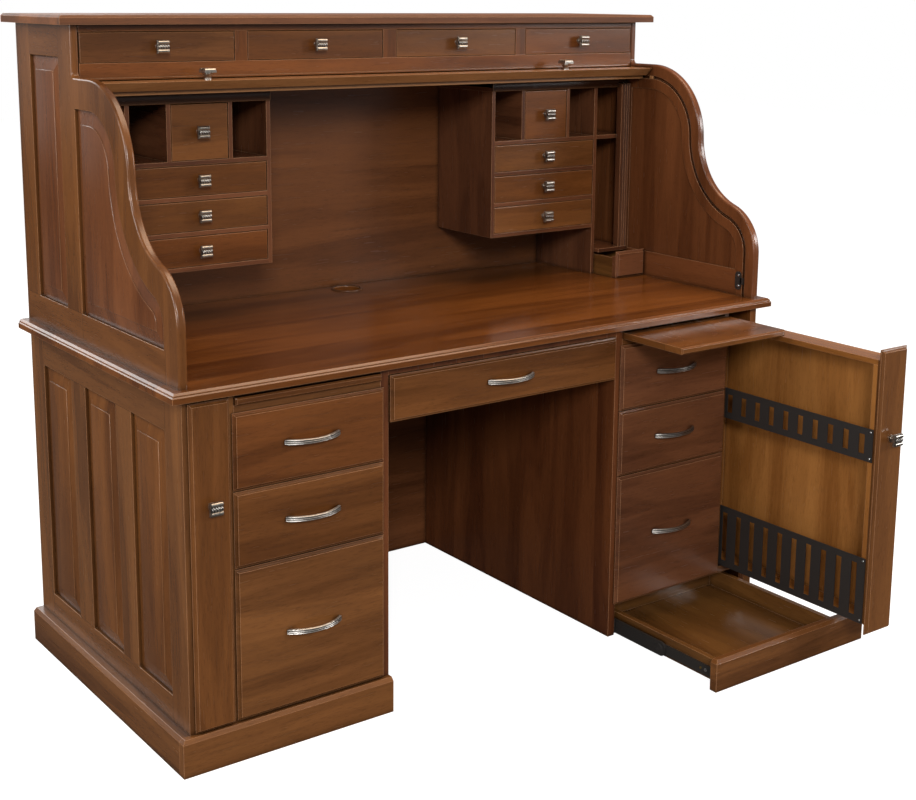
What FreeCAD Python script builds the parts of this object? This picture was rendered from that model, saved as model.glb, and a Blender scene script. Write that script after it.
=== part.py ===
"""S-curve roll-top desk: two drawer pedestals, a desktop, and an upper case with a tambour cover.

X runs to the sitter's right, Y to the back and Z up. The origin is on the floor, on the centre line,
under the middle of the modesty panel. The desk stands as photographed: the cover is rolled up, and the
right writing slide, media pull-out, base drawer and hidden drawer are open.
"""
import FreeCAD, Part
import math
import os

SIZES = {
    # Desktop and its moulded edge
    "desktop_width": 1588,
    "desktop_depth": 786,
    "desktop_height": 762,
    "desktop_thick": 20,
    "edge_lip": 11.5,
    "edge_step": 2.5,
    "edge_bead": 4,
    # Upper case
    "upper_width": 1538,
    "upper_side_thick": 18,
    "case_height": 654,
    "case_depth": 304,
    "top_overhang": 32,
    "top_front_overhang": 30,
    "top_thick": 19,
    "top_chamfer": 5,
    "back_thick": 6,
    # S curve of the upper sides
    "foot_setback": 22,
    "s_reveal": 3,
    "bulge_setback": 82,
    "edge_round": 5,
    "cove_radius": 10,
    "s_member": 62,
    "s_bottom_rail": 64,
    "s_top_rail": 66,
    "s_rear_stile": 77,
    "s_rear_panel": 159,
    "s_middle_stile": 78,
    # Raised panels
    "panel_bevel": 30,
    "panel_field_depth": 1,
    "panel_edge_depth": 7,
    "panel_back_depth": 2,
    # Tambour cover and its track
    "track_inset": 33,
    "track_width": 8,
    "track_depth": 7,
    "track_turn_radius": 40,
    "slat_thick": 7,
    "slat_width": 11,
    "slat_pitch": 12.5,
    "slat_engagement": 5,
    "canvas_thick": 1,
    "rail_depth": 72,
    "rail_thick": 28,
    "rail_front_slope": 20,
    "rail_lip_thick": 19,
    "rail_lip_depth": 34,
    "rail_front": 85,
    "rail_below_edge": 9,
    "rail_end_gap": 1,
    "rail_pin_depth": 12,
    "rail_knob_spacing": 980,
    "catch_width": 20,
    "catch_height": 45,
    "catch_thick": 1.5,
    "catch_above_desktop": 15,
    "catch_from_front": 38.5,
    "catch_bolt_reach": 8,
    "catch_bolt_height": 16,
    "catch_screw_radius": 3.2,
    "catch_screw_head": 1.2,
    "catch_screw_spacing": 33,
    # Row of small drawers under the top
    "row_top_rail": 14,
    "row_bottom_rail": 30,
    "row_opening": 64,
    "row_centre_stile": 36,
    "row_stile": 30,
    "row_frame_depth": 20,
    "row_floor": 12,
    "row_divider": 10,
    "row_drawer_depth": 210,
    # Organizers over the desktop
    "organizer_width": 441.5,
    "organizer_depth": 228.5,
    "organizer_board": 9.5,
    "organizer_gap": 15,
    "organizer_opening": 67.5,
    "organizer_row": 122.5,
    "organizer_column": 99,
    "cubby_width": 84,
    "inner_back_thick": 6,
    "curtain_space": 51,
    "curtain_end_gap": 44,
    "pilaster_width": 31,
    "pilaster_depth": 18.5,
    "flute_radius": 3,
    "hidden_drawer_rise": 58.5,
    # Pedestals
    "pedestal_width": 1533,
    "pedestal_setback": 23,
    "pedestal_board": 19,
    "kneehole_width": 618,
    "partition_thick": 12,
    "media_bay": 76.5,
    "modesty_thick": 13,
    "plinth_side_thick": 23.5,
    "plinth_height": 76,
    "plinth_thick": 19,
    "plinth_chamfer": 7,
    "pedestal_floor": 16,
    "rail_height": 20.5,
    "frame_depth": 40,
    "small_opening": 135.5,
    "slide_slot": 17,
    "sub_rail": 8.5,
    "side_stile": 73,
    "side_between": 74,
    "side_top_rail": 74,
    "side_bottom_rail": 130,
    "apron_thick": 18,
    "apron_height": 17,
    # Drawer fronts, boxes and slides
    "front_lap": 5.5,
    "front_lip": 9,
    "front_bevel": 3,
    "front_cove": 6,
    "front_reveal": 3,
    "front_body": 10,
    "front_gap": 1.2,
    "media_front_gap": 5.5,
    "media_front_lap": 8,
    "media_front_rise": 1,
    "run_clearance": 0.4,
    "box_wall": 12,
    "box_floor": 6,
    "box_top_gap": 12,
    "pedestal_drawer_depth": 470,
    "small_wall": 8,
    "small_floor": 4,
    "small_top_gap": 5,
    "organizer_drawer_depth": 205,
    "slide_space": 13,
    "slide_member": 6.3,
    "slide_height": 45,
    "slide_length": 450,
    "centre_front_height": 98,
    "centre_front_gap": 2.5,
    "centre_box_height": 76,
    "centre_drawer_depth": 430,
    "writing_board": 14.6,
    "writing_depth": 380,
    "media_tray_depth": 500,
    "media_tray_wall": 12,
    "media_tray_gap": 4,
    "media_tray_rise": 20,
    "media_tray_top_gap": 25,
    "pocket_sheet": 2,
    "upper_pocket_height": 75,
    "upper_pocket_rise": 378,
    "lower_pocket_height": 154,
    "pocket_slot_pitch": 44,
    "pocket_slot_width": 16,
    "pocket_slot_margin": 15,
    "base_front_height": 71,
    "base_floor_gap": 1.5,
    "base_box_height": 49,
    "base_box_rise": 3,
    "base_drawer_depth": 420,
    "base_slide_member": 4,
    "base_slide_height": 34,
    "base_inner_height": 24,
    "base_slide_drop": 6.5,
    "base_front_lap": 3,
    "base_slide_length": 380,
    # How far the photographed pieces stand open
    "writing_open": 182,
    "media_open": 449,
    "base_open": 334,
    "hidden_open": 65,
    # Cord grommet in the desktop
    "grommet_radius": 40,
    "grommet_hole_radius": 33,
    "grommet_rim": 3,
    "grommet_setback": 47.5,
    # Knobs and bow pulls
    "knob_foot_radius": 8,
    "knob_foot": 3,
    "knob_neck_radius": 5.5,
    "knob_neck": 12,
    "knob_head": 27,
    "knob_head_thick": 5,
    "knob_roll_rise": 4,
    "knob_roll_inset": 1.5,
    "knob_middle_sink": 1,
    "pull_span": 124,
    "pull_rise": 26,
    "pull_thick": 4.5,
    "pull_height": 13,
    "pull_waist": 2,
    "overrun": 1,
}
# Radii of the S's three arcs, and the rise from the bulge's centre to the hollow's, as shares of its height
BULGE_SHARE = 0.326
HOLLOW_SHARE = 0.31
TOE_SHARE = 0.217
HOLLOW_RISE_SHARE = 0.02
MEDIA_KNOB_SHARE = 0.69
KNOB_ROLLS = 3
ORGANIZER_DRAWERS = 3
PEDESTAL_PANELS = 3
FLUTES = 3

doc = FreeCAD.newDocument("roll_top_desk")
sheet = doc.addObject("Spreadsheet::Sheet", "sizes")
for row, (alias, length) in enumerate(SIZES.items(), start=1):
    sheet.set(f"A{row}", alias)
    sheet.set(f"B{row}", str(length))
    sheet.setAlias(f"B{row}", alias)
doc.recompute()


class Size:
    """A length worked out from the sheet: its formula in the cells, and its value in millimetres."""

    def __init__(self, formula, value):
        self.formula = formula
        self.value = value

    def with_other(self, sign, other, value):
        return Size(f"({self.formula} {sign} {other.formula})", value)

    def __add__(self, other):
        return self.with_other("+", other, self.value + other.value)

    def __sub__(self, other):
        return self.with_other("-", other, self.value - other.value)

    def __neg__(self):
        return Size(f"(0 - {self.formula})", -self.value)

    def __mul__(self, other):
        if isinstance(other, Size):
            return self.with_other("*", other, self.value * other.value)
        return Size(f"({self.formula} * {other})", self.value * other)

    def __truediv__(self, other):
        if isinstance(other, Size):
            return self.with_other("/", other, self.value / other.value)
        return Size(f"({self.formula} / {other})", self.value / other)


def root(area):
    return Size(f"sqrt({area.formula})", math.sqrt(area.value))


class Cells:
    """The sheet's sizes by name."""

    def __getattr__(self, alias):
        return Size(f"sizes.{alias}", float(sheet.get(alias)))


mm = Cells()
ZERO = Size("0", 0.0)
LEFT, RIGHT = -1, 1
SIDES = {"left": LEFT, "right": RIGHT}
nodes = []


# Building blocks

def box(name, x, y, z):
    """A board between a low and a high place on each axis."""
    board = doc.addObject("Part::Box", name)
    for side, axis, (low, high) in zip(("Length", "Width", "Height"), "xyz", (x, y, z)):
        board.setExpression(side, (high - low).formula)
        board.setExpression(f"Placement.Base.{axis}", low.formula)
    return board


def frustum(name, facing, u, v, depth, insets):
    """A board whose outer face is drawn in on its four edges.

    u and v span the inner face, depth goes from the inner to the outer face, and insets are the
    draw at u low, u high, v low and v high. Facing up, u is X and v is Y. Facing front, u is X and
    v is Z. Facing left or right, u is Y and v is Z.
    """
    wedge = doc.addObject("Part::Wedge", name)
    turns = {
        "up": (FreeCAD.Rotation(FreeCAD.Vector(1, 0, 0), 90), False, True, False),
        "front": (FreeCAD.Rotation(FreeCAD.Vector(0, 0, 1), 180), True, False, True),
        "right": (FreeCAD.Rotation(FreeCAD.Vector(0, 0, 1), -90), True, False, False),
        "left": (FreeCAD.Rotation(FreeCAD.Vector(0, 0, 1), 90), False, False, True),
    }
    rotation, flip_u, flip_v, flip_depth = turns[facing]
    u_inset, v_inset = insets[:2], insets[2:]
    u_out = (u[0] + u_inset[0], u[1] - u_inset[1])
    v_out = (v[0] + v_inset[0], v[1] - v_inset[1])

    def turned(span, flip):
        return (-span[1], -span[0]) if flip else span

    start, end = (-depth[0], -depth[1]) if flip_depth else depth
    ranges = {
        "X": turned(u, flip_u), "X2": turned(u_out, flip_u),
        "Z": turned(v, flip_v), "Z2": turned(v_out, flip_v), "Y": (start, end),
    }
    for axis, (low, high) in ranges.items():
        wedge.setExpression(f"{axis}min", low.formula)
        wedge.setExpression(f"{axis}max", high.formula)
    wedge.Placement = FreeCAD.Placement(FreeCAD.Vector(), rotation)
    return wedge


def cylinder(name, facing, radius, place, length):
    """A round bar that starts at place and runs up, or towards the front, left or right."""
    turns = {
        "up": FreeCAD.Rotation(),
        "front": FreeCAD.Rotation(FreeCAD.Vector(1, 0, 0), 90),
        "left": FreeCAD.Rotation(FreeCAD.Vector(0, 1, 0), -90),
        "right": FreeCAD.Rotation(FreeCAD.Vector(0, 1, 0), 90),
    }
    bar = doc.addObject("Part::Cylinder", name)
    bar.Placement = FreeCAD.Placement(FreeCAD.Vector(), turns[facing])
    bar.setExpression("Radius", radius.formula)
    bar.setExpression("Height", length.formula)
    for axis, where in zip("xyz", place):
        bar.setExpression(f"Placement.Base.{axis}", where.formula)
    return bar


def fuse(name, pieces):
    joined = doc.addObject("Part::MultiFuse", name)
    joined.Shapes = list(pieces)
    return joined


def cut(name, base, tools):
    tools = list(tools)
    result = doc.addObject("Part::Cut", name)
    result.Base = base
    result.Tool = tools[0] if len(tools) == 1 else fuse(f"{name}_tools", tools)
    return result


def solid(name, shape):
    """A piece whose outline is worked out from the sheet in code."""
    piece = doc.addObject("Part::Feature", name)
    piece.Shape = shape
    return piece


def node(label, pieces):
    """A named sub-part: one solid, or several that share a name."""
    pieces = list(pieces)
    if len(pieces) == 1:
        part = pieces[0]
    else:
        part = doc.addObject("Part::Compound", label)
        part.Links = pieces
    part.Label = label
    nodes.append(part)
    return part


def sided(sign, span):
    """A span given for the right side, mirrored for the left."""
    return span if sign > 0 else (-span[1], -span[0])


def moved(span, distance):
    return (span[0] + distance, span[1] + distance)


def middle(span):
    return (span[0] + span[1]) / 2


def grown(span, margin):
    return (span[0] - margin, span[1] + margin)


# Places that several pieces share

back = mm.modesty_thick / 2
desk_front = back - mm.desktop_depth
desk_top = mm.desktop_height
desk_under = desk_top - mm.desktop_thick
upper_half = mm.upper_width / 2
upper_inner = upper_half - mm.upper_side_thick
case_front = back - mm.case_depth
case_top = desk_top + mm.case_height
pedestal_front = desk_front + mm.pedestal_setback
pedestal_half = mm.pedestal_width / 2
side_inner = pedestal_half - mm.pedestal_board
knee = mm.kneehole_width / 2
bay_inner = knee + mm.pedestal_board
partition_outer = side_inner - mm.media_bay
partition_inner = partition_outer - mm.partition_thick
pedestal_back = back - mm.modesty_thick
bay = (bay_inner, partition_inner)

# Heights in a pedestal, from the desktop down: writing slide, two small drawers, one file drawer
slot = (desk_under - mm.sub_rail - mm.slide_slot, desk_under - mm.sub_rail)
upper_opening = (slot[0] - mm.rail_height - mm.small_opening, slot[0] - mm.rail_height)
lower_opening = moved(upper_opening, -(mm.small_opening + mm.rail_height))
file_opening = (mm.plinth_height + mm.pedestal_floor, lower_opening[0] - mm.rail_height)
drawer_openings = (upper_opening, lower_opening, file_opening)

# The drawer row hangs from the top, and the S comes up to its bottom rail
row_bottom = case_top - mm.row_top_rail - mm.row_opening
row_z = (row_bottom, row_bottom + mm.row_opening)
s_top = row_bottom - mm.row_bottom_rail + mm.s_reveal

# Centres of the three arcs of the S: bulge, hollow and toe, as Y and Z
s_height = s_top - desk_top
bulge_radius = s_height * BULGE_SHARE
hollow_radius = s_height * HOLLOW_SHARE
toe_radius = s_height * TOE_SHARE
hollow_rise = s_height * HOLLOW_RISE_SHARE
foot = desk_front + mm.foot_setback
bulge_y = case_front - mm.bulge_setback
bulge_z = s_top - bulge_radius
upper_reach = bulge_radius + hollow_radius
hollow_y = bulge_y - root(upper_reach * upper_reach - hollow_rise * hollow_rise)
hollow_z = bulge_z + hollow_rise
toe_y = foot + toe_radius
lower_reach = hollow_radius + toe_radius
toe_z = hollow_z - root(lower_reach * lower_reach - (toe_y - hollow_y) * (toe_y - hollow_y))
track_z = s_top - mm.track_inset

# Organizer grid, for the right side: X from the middle out, Z from the desktop up
organizer_inner = upper_inner - mm.organizer_width
cells_start = organizer_inner + mm.organizer_board
upright = (upper_inner - mm.organizer_column - mm.organizer_board, upper_inner - mm.organizer_column)
inner_back_front = back - mm.back_thick - mm.curtain_space - mm.inner_back_thick
organizer_y = (inner_back_front - mm.organizer_depth, inner_back_front)
grommet_y = inner_back_front - mm.grommet_setback
organizer_pitch = mm.organizer_opening + mm.organizer_board
cover_under = track_z - mm.slat_thick / 2 - mm.canvas_thick
organizer_top = (cover_under - mm.organizer_gap - mm.organizer_board, cover_under - mm.organizer_gap)
row_cell = (organizer_top[0] - mm.organizer_row, organizer_top[0])
row_floor_z = row_cell[0] - mm.organizer_board
drawer_cells = [
    moved((row_floor_z - mm.organizer_opening, row_floor_z), -(organizer_pitch * i))
    for i in range(ORGANIZER_DRAWERS)
]
organizer_floor = drawer_cells[-1][0] - mm.organizer_board
dividers = (
    (cells_start + mm.cubby_width, cells_start + mm.cubby_width + mm.organizer_board),
    (upright[0] - mm.cubby_width - mm.organizer_board, upright[0] - mm.cubby_width),
)


# The S outline, seen from the side

def at(x, y, z):
    return FreeCAD.Vector(x, y, z)


def arc(x, centre, radius, start, end):
    """An arc about a centre in the YZ plane, between two angles from +Y towards +Z."""
    points = [
        at(x, centre[0] + radius * math.cos(angle), centre[1] + radius * math.sin(angle))
        for angle in (start, (start + end) / 2, end)
    ]
    return Part.Arc(*points).toShape()


def line(x, start, end):
    return Part.LineSegment(at(x, *start), at(x, *end)).toShape()


def s_edges(x, inset, low):
    """The S from its foot at height low up to the top of the bulge, drawn in by inset."""
    bulge = (bulge_y.value, bulge_z.value)
    hollow = (hollow_y.value, hollow_z.value)
    toe = (toe_y.value, toe_z.value)
    turn_low = math.atan2(toe[1] - hollow[1], toe[0] - hollow[0])
    turn_high = math.atan2(bulge[1] - hollow[1], bulge[0] - hollow[0])
    toe_r = toe_radius.value - inset
    hollow_r = hollow_radius.value + inset
    bulge_r = bulge_radius.value - inset
    foot_y = toe[0] - toe_r
    return [
        line(x, (foot_y, low), (foot_y, toe[1])),
        arc(x, toe, toe_r, math.pi, turn_low + math.pi),
        arc(x, hollow, hollow_r, turn_low, turn_high),
        arc(x, bulge, bulge_r, turn_high + math.pi, math.pi / 2),
    ]


def closed_face(edges):
    return Part.Face(Part.Wire(edges))


def polyline(x, points):
    return [line(x, start, end) for start, end in zip(points, points[1:])]


def s_panel_wire(x, inset):
    """The front panel's outline behind the S member, drawn in by inset on all its edges."""
    low = desk_top.value + mm.s_bottom_rail.value + inset
    edges = s_edges(x, mm.s_member.value + inset, low)
    top = s_top.value - mm.s_member.value - inset
    rear = rear_opening_y[0].value - mm.s_middle_stile.value - inset
    front = toe_y.value - toe_radius.value + mm.s_member.value + inset
    corners = [(bulge_y.value, top), (rear, top), (rear, low), (front, low)]
    return Part.Wire(edges + polyline(x, corners))


def side_face(x):
    """The whole outline of an upper side, with the small cove under the drawer row."""
    cove = mm.cove_radius.value
    front = case_front.value
    top = s_top.value
    low = desk_top.value
    edges = s_edges(x, 0, low)
    edges += polyline(x, [(bulge_y.value, top), (front - cove, top)])
    edges.append(arc(x, (front - cove, top + cove), cove, -math.pi / 2, 0))
    corners = [(front, top + cove), (front, case_top.value), (back.value, case_top.value)]
    edges += polyline(x, corners + [(back.value, low), (foot.value, low)])
    return closed_face(edges)


rear_opening_y = (back - mm.s_rear_stile - mm.s_rear_panel, back - mm.s_rear_stile)
rear_opening_z = (desk_top + mm.s_bottom_rail, case_top - mm.s_top_rail)

# The tambour's track: along the S, back under the drawer row, round a turn and down behind the inner back
curtain_y = back - mm.back_thick - mm.curtain_space / 2
turn_y = curtain_y - mm.track_turn_radius
turn_z = track_z - mm.track_turn_radius
rail_rear = case_front - mm.rail_front + mm.rail_depth
curtain_end = desk_top + mm.s_bottom_rail + mm.curtain_end_gap


def track_face(x):
    """The groove's outline: both its walls, closed at the desktop and at the curtain's far end."""
    half = mm.track_width.value / 2
    inset = mm.track_inset.value
    turn = (turn_y.value, turn_z.value)
    radius = mm.track_turn_radius.value
    far = desk_top.value + mm.s_bottom_rail.value
    outer = s_edges(x, inset - half, desk_top.value)
    outer += polyline(x, [(bulge_y.value, track_z.value + half), (turn[0], track_z.value + half)])
    outer.append(arc(x, turn, radius + half, math.pi / 2, 0))
    inner = s_edges(x, inset + half, desk_top.value)
    inner += polyline(x, [(bulge_y.value, track_z.value - half), (turn[0], track_z.value - half)])
    inner.append(arc(x, turn, radius - half, math.pi / 2, 0))
    outer_end = (turn[0] + radius + half, turn[1])
    inner_end = (turn[0] + radius - half, turn[1])
    outer += polyline(x, [outer_end, (outer_end[0], far), (inner_end[0], far), inner_end])
    front = [toe_y.value - toe_radius.value + inset + side * half for side in (1, -1)]
    outer += polyline(x, [(front[0], desk_top.value), (front[1], desk_top.value)])
    return closed_face(Part.__sortEdges__(outer + inner))


def across(face, distance):
    return face.extrude(FreeCAD.Vector(distance, 0, 0))


def mirrored_shape(shape, sign):
    if sign > 0:
        return shape
    return shape.mirror(FreeCAD.Vector(), FreeCAD.Vector(1, 0, 0))


def track_cutter():
    start = upper_inner.value - mm.overrun.value
    return across(track_face(start), mm.track_depth.value + mm.overrun.value)


def rounded_front(board):
    """Rounds both long edges of the S, which run from the foot to the drawer row."""
    faces = (upper_inner.value, upper_half.value)
    small = mm.overrun.value
    edges = []
    for edge in board.Edges:
        box_of = edge.BoundBox
        flat = box_of.XLength < small and min(abs(box_of.XMin - face) for face in faces) < small
        in_front = box_of.YMax < case_front.value + small and box_of.ZMin > desk_top.value - small
        along = box_of.ZLength > small or box_of.ZMin > desk_top.value + small
        below_row = box_of.ZMax < s_top.value + mm.cove_radius.value + small
        if flat and in_front and along and below_row:
            edges.append(edge)
    return board.makeFillet(mm.edge_round.value, edges)


def upper_side():
    """Frame of the right upper side: S member, stiles and rails round two panel openings."""
    x = upper_inner.value
    frame = rounded_front(across(side_face(x), mm.upper_side_thick.value))
    opening = across(Part.Face(s_panel_wire(x, 0)), mm.upper_side_thick.value)
    rear = Part.makeBox(
        mm.upper_side_thick.value, mm.s_rear_panel.value, (rear_opening_z[1] - rear_opening_z[0]).value,
        at(x, rear_opening_y[0].value, rear_opening_z[0].value))
    return frame.cut(opening).cut(rear).cut(track_cutter())


def s_panel():
    """Raised panel behind the S member, bevelled to its field on the outside."""
    inner = upper_inner.value + mm.panel_back_depth.value
    edge = upper_half.value - mm.panel_edge_depth.value
    field = upper_half.value - mm.panel_field_depth.value
    wires = [s_panel_wire(inner, 0), s_panel_wire(edge, 0), s_panel_wire(field, mm.panel_bevel.value)]
    return Part.makeLoft(wires, True, True)


def rear_panel():
    """Tall raised panel in the rear of an upper side."""
    inner = upper_inner.value + mm.panel_back_depth.value
    edge = upper_half.value - mm.panel_edge_depth.value
    field = upper_half.value - mm.panel_field_depth.value
    wires = []
    for x, inset in ((inner, 0), (edge, 0), (field, mm.panel_bevel.value)):
        low_y = rear_opening_y[0].value + inset
        high_y = rear_opening_y[1].value - inset
        low_z = rear_opening_z[0].value + inset
        high_z = rear_opening_z[1].value - inset
        corners = [(low_y, low_z), (high_y, low_z), (high_y, high_z), (low_y, high_z), (low_y, low_z)]
        wires.append(Part.Wire(polyline(x, corners)))
    return Part.makeLoft(wires, True, True)


def make_upper_sides():
    panels = []
    for side, sign in SIDES.items():
        frame = solid(f"upper_frame_{side}", mirrored_shape(upper_side(), sign))
        node(f"upper_side_{side}", [frame])
        for name, shape in (("front", s_panel()), ("rear", rear_panel())):
            grooved = shape.cut(track_cutter())
            panels.append(solid(f"{name}_panel_{side}", mirrored_shape(grooved, sign)))
    return panels


# Case boards

def make_top_board():
    half = upper_half + mm.top_overhang
    x = (-half, half)
    y = (case_front - mm.top_front_overhang, back)
    shoulder = case_top + mm.top_thick - mm.top_chamfer
    board = box("top_slab", x, y, (case_top, shoulder))
    chamfer = mm.top_chamfer
    edge_z = (shoulder, case_top + mm.top_thick)
    edge = frustum("top_edge", "up", x, y, edge_z, (chamfer, chamfer, chamfer, ZERO))
    node("top_board", [fuse("top_board", [board, edge])])


def make_desktop():
    """The moulded edge steps in from a square lip to a bead, on the front and both ends."""
    half = mm.desktop_width / 2
    x = (-half, half)
    y = (desk_front, back)
    lip = desk_under + mm.edge_lip
    bead = desk_top - mm.edge_bead
    step = mm.edge_step
    inner_x = grown(x, -step)
    inner_y = (y[0] + step, y[1])
    small = mm.edge_bead
    slabs = [
        box("desktop_lip", x, y, (desk_under, lip)),
        frustum("desktop_slope", "up", x, y, (lip, lip + mm.edge_bead / 2), (step, step, step, ZERO)),
        box("desktop_step", inner_x, inner_y, (lip, bead)),
        frustum("desktop_bead", "up", inner_x, inner_y, (bead, desk_top), (small, small, small, ZERO)),
    ]
    hole_place = (ZERO, grommet_y, desk_under - mm.overrun)
    hole_depth = mm.desktop_thick + mm.overrun * 2
    hole = cylinder("grommet_hole", "up", mm.grommet_hole_radius, hole_place, hole_depth)
    node("desktop", [cut("desktop", fuse("desktop_slabs", slabs), [hole])])


def make_grommet():
    outer = cylinder("grommet_outer", "up", mm.grommet_radius, (ZERO, grommet_y, desk_top), mm.grommet_rim)
    low_place = (ZERO, grommet_y, desk_top - mm.overrun)
    depth = mm.grommet_rim + mm.overrun * 2
    inner = cylinder("grommet_inner", "up", mm.grommet_hole_radius, low_place, depth)
    node("cord_grommet", [cut("cord_grommet", outer, [inner])])


def make_backs():
    full = (-upper_inner, upper_inner)
    upper = box("upper_back_board", full, (back - mm.back_thick, back), (desk_top, case_top))
    inner_y = (inner_back_front, inner_back_front + mm.inner_back_thick)
    inner = box("inner_back_board", full, inner_y, (desk_top, organizer_top[1]))
    node("case_backs", [upper, inner])
    backs = [box("modesty_board", (-knee, knee), (pedestal_back, back), (ZERO, desk_under))]
    for side, sign in SIDES.items():
        x = sided(sign, (bay_inner, side_inner))
        backs.append(box(f"pedestal_back_{side}", x, (pedestal_back, back), (mm.plinth_height, desk_under)))
    node("back_panels", backs)


# Row of drawers under the top

row_width = (upper_inner - mm.row_centre_stile / 2 - mm.row_stile) / 2
row_inner_x = (mm.row_centre_stile / 2, mm.row_centre_stile / 2 + row_width)
row_outer_x = (upper_inner - row_width, upper_inner)
row_openings = [sided(LEFT, row_outer_x), sided(LEFT, row_inner_x), row_inner_x, row_outer_x]


def make_drawer_row():
    full = (-upper_inner, upper_inner)
    y = (case_front, case_front + mm.row_frame_depth)
    inside = (y[1], back - mm.back_thick)
    boards = [
        box("row_top_rail", full, y, (row_z[1], case_top)),
        box("row_bottom_rail", full, y, (row_z[0] - mm.row_bottom_rail, row_z[0])),
        box("row_dust_board", full, inside, (row_z[0] - mm.row_floor, row_z[0])),
    ]
    gaps = [(low[1], high[0]) for low, high in zip(row_openings, row_openings[1:])]
    for number, gap in enumerate(gaps, start=1):
        boards.append(box(f"row_stile_{number}", gap, y, row_z))
        guide = (middle(gap) - mm.row_divider / 2, middle(gap) + mm.row_divider / 2)
        boards.append(box(f"row_guide_{number}", guide, inside, row_z))
    node("drawer_row_frame", boards)


# Knobs, pulls and drawers

def knob(name, facing, x, y, z):
    """Knob on a round neck and foot, standing out to the front or up: a square head of three level rolls."""
    lengths = (mm.knob_foot, mm.knob_neck, mm.knob_head_thick, mm.knob_roll_rise)
    ends = [ZERO]
    for length in lengths:
        ends.append(ends[-1] + length)

    def out(distance, along=ZERO, across=ZERO):
        if facing == "front":
            return (x + along, y - distance, z + across)
        return (x + along, y + across, z + distance)

    foot_disc = cylinder(f"{name}_foot", facing, mm.knob_foot_radius, out(ends[0]), lengths[0])
    neck = cylinder(f"{name}_neck", facing, mm.knob_neck_radius, out(ends[1]), lengths[1])
    half = mm.knob_head / 2
    u = (x - half, x + half)
    v = (z - half, z + half) if facing == "front" else (y - half, y + half)
    plate_span = (y - ends[2], y - ends[3]) if facing == "front" else (z + ends[2], z + ends[3])
    pieces = [foot_disc, neck, frustum(f"{name}_plate", facing, u, v, plate_span, (ZERO,) * 4)]
    roll_radius = half / KNOB_ROLLS
    for number in range(KNOB_ROLLS):
        across = roll_radius * (number * 2 + 1) - half
        sink = mm.knob_middle_sink if number * 2 + 1 == KNOB_ROLLS else ZERO
        place = out(ends[4] - roll_radius - sink, mm.knob_roll_inset - half, across)
        pieces.append(cylinder(f"{name}_roll_{number}", "right", roll_radius, place,
                               mm.knob_head - mm.knob_roll_inset * 2))
    return fuse(name, pieces)


def bow_pull(name, x, y, z):
    """Bowed strap pull: a slice of a ring, narrowed to a waist in the middle."""
    half = mm.pull_span / 2
    radius = (half * half + mm.pull_rise * mm.pull_rise) / (mm.pull_rise * 2)
    centre_y = y - mm.pull_rise + radius
    low = z - mm.pull_height / 2
    outer = cylinder(f"{name}_outer", "up", radius, (x, centre_y, low), mm.pull_height)
    inner_place = (x, centre_y, low - mm.overrun)
    inner_height = mm.pull_height + mm.overrun * 2
    inner = cylinder(f"{name}_inner", "up", radius - mm.pull_thick, inner_place, inner_height)
    ring = cut(f"{name}_ring", outer, [inner])
    waist_radius = (half * half + mm.pull_waist * mm.pull_waist) / (mm.pull_waist * 2)
    waist_z = mm.pull_height / 2 - mm.pull_waist + waist_radius
    depth = mm.pull_rise + mm.overrun * 2
    waists = [
        cylinder(f"{name}_waist_{where}", "front", waist_radius, (x, y + mm.overrun, z + offset), depth)
        for where, offset in (("above", waist_z), ("below", -waist_z))
    ]
    keep = box(f"{name}_keep", (x - half, x + half), (y - mm.pull_rise - mm.overrun, y),
               (low - mm.overrun, low + mm.pull_height + mm.overrun))
    bow = doc.addObject("Part::Common", f"{name}_bow")
    bow.Base = ring
    bow.Tool = keep
    return cut(name, bow, waists)


def lipped_front(name, x, y, z, body_x, body_z):
    """Drawer front: a lip that laps the opening, with a cove run round its face, and a body inside it."""
    face = y - mm.front_lip
    slab = box(f"{name}_slab", x, (face, y), z)
    past = mm.overrun
    width = x[1] - x[0] + past * 2
    height = z[1] - z[0] + past * 2
    coves = [
        cylinder(f"{name}_cove_low", "right", mm.front_cove, (x[0] - past, face, z[0]), width),
        cylinder(f"{name}_cove_high", "right", mm.front_cove, (x[0] - past, face, z[1]), width),
        cylinder(f"{name}_cove_left", "up", mm.front_cove, (x[0], face, z[0] - past), height),
        cylinder(f"{name}_cove_right", "up", mm.front_cove, (x[1], face, z[0] - past), height),
    ]
    lip = cut(f"{name}_lip", slab, coves)
    body = box(f"{name}_body", body_x, (y, y + mm.front_body), body_z)
    return fuse(f"{name}_front", [lip, body])


def drawer_boards(name, x, y, z, wall, floor):
    """Sides, back and floor of a drawer box, open at the top."""
    inside = grown(x, -wall)
    rear = (y[1] - wall, y[1])
    return [
        box(f"{name}_side_a", (x[0], inside[0]), y, z),
        box(f"{name}_side_b", (inside[1], x[1]), y, z),
        box(f"{name}_back", inside, rear, z),
        box(f"{name}_floor", inside, (y[0], rear[0]), (z[0], z[0] + floor)),
    ]


def inset_drawer(label, opening_x, opening_z, front_y, depth):
    """Small drawer whose front fits inside its opening and which runs on the board below."""
    gap = mm.front_gap
    x = grown(opening_x, -gap)
    z = (opening_z[0] + mm.run_clearance, opening_z[1] - gap)
    wall = mm.small_wall
    bevel = mm.front_bevel / 2
    front = fuse(f"{label}_front", [
        box(f"{label}_face", x, (front_y + bevel, front_y + wall), z),
        frustum(f"{label}_bevel", "front", x, z, (front_y + bevel, front_y), (bevel,) * 4),
    ])
    y = (front_y + wall, front_y + depth)
    boards = drawer_boards(label, x, y, (z[0], z[1] - mm.small_top_gap), wall, mm.small_floor)
    handle = knob(f"{label}_knob", "front", middle(opening_x), front_y, middle(opening_z))
    node(label, [front] + boards + [handle])


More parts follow.
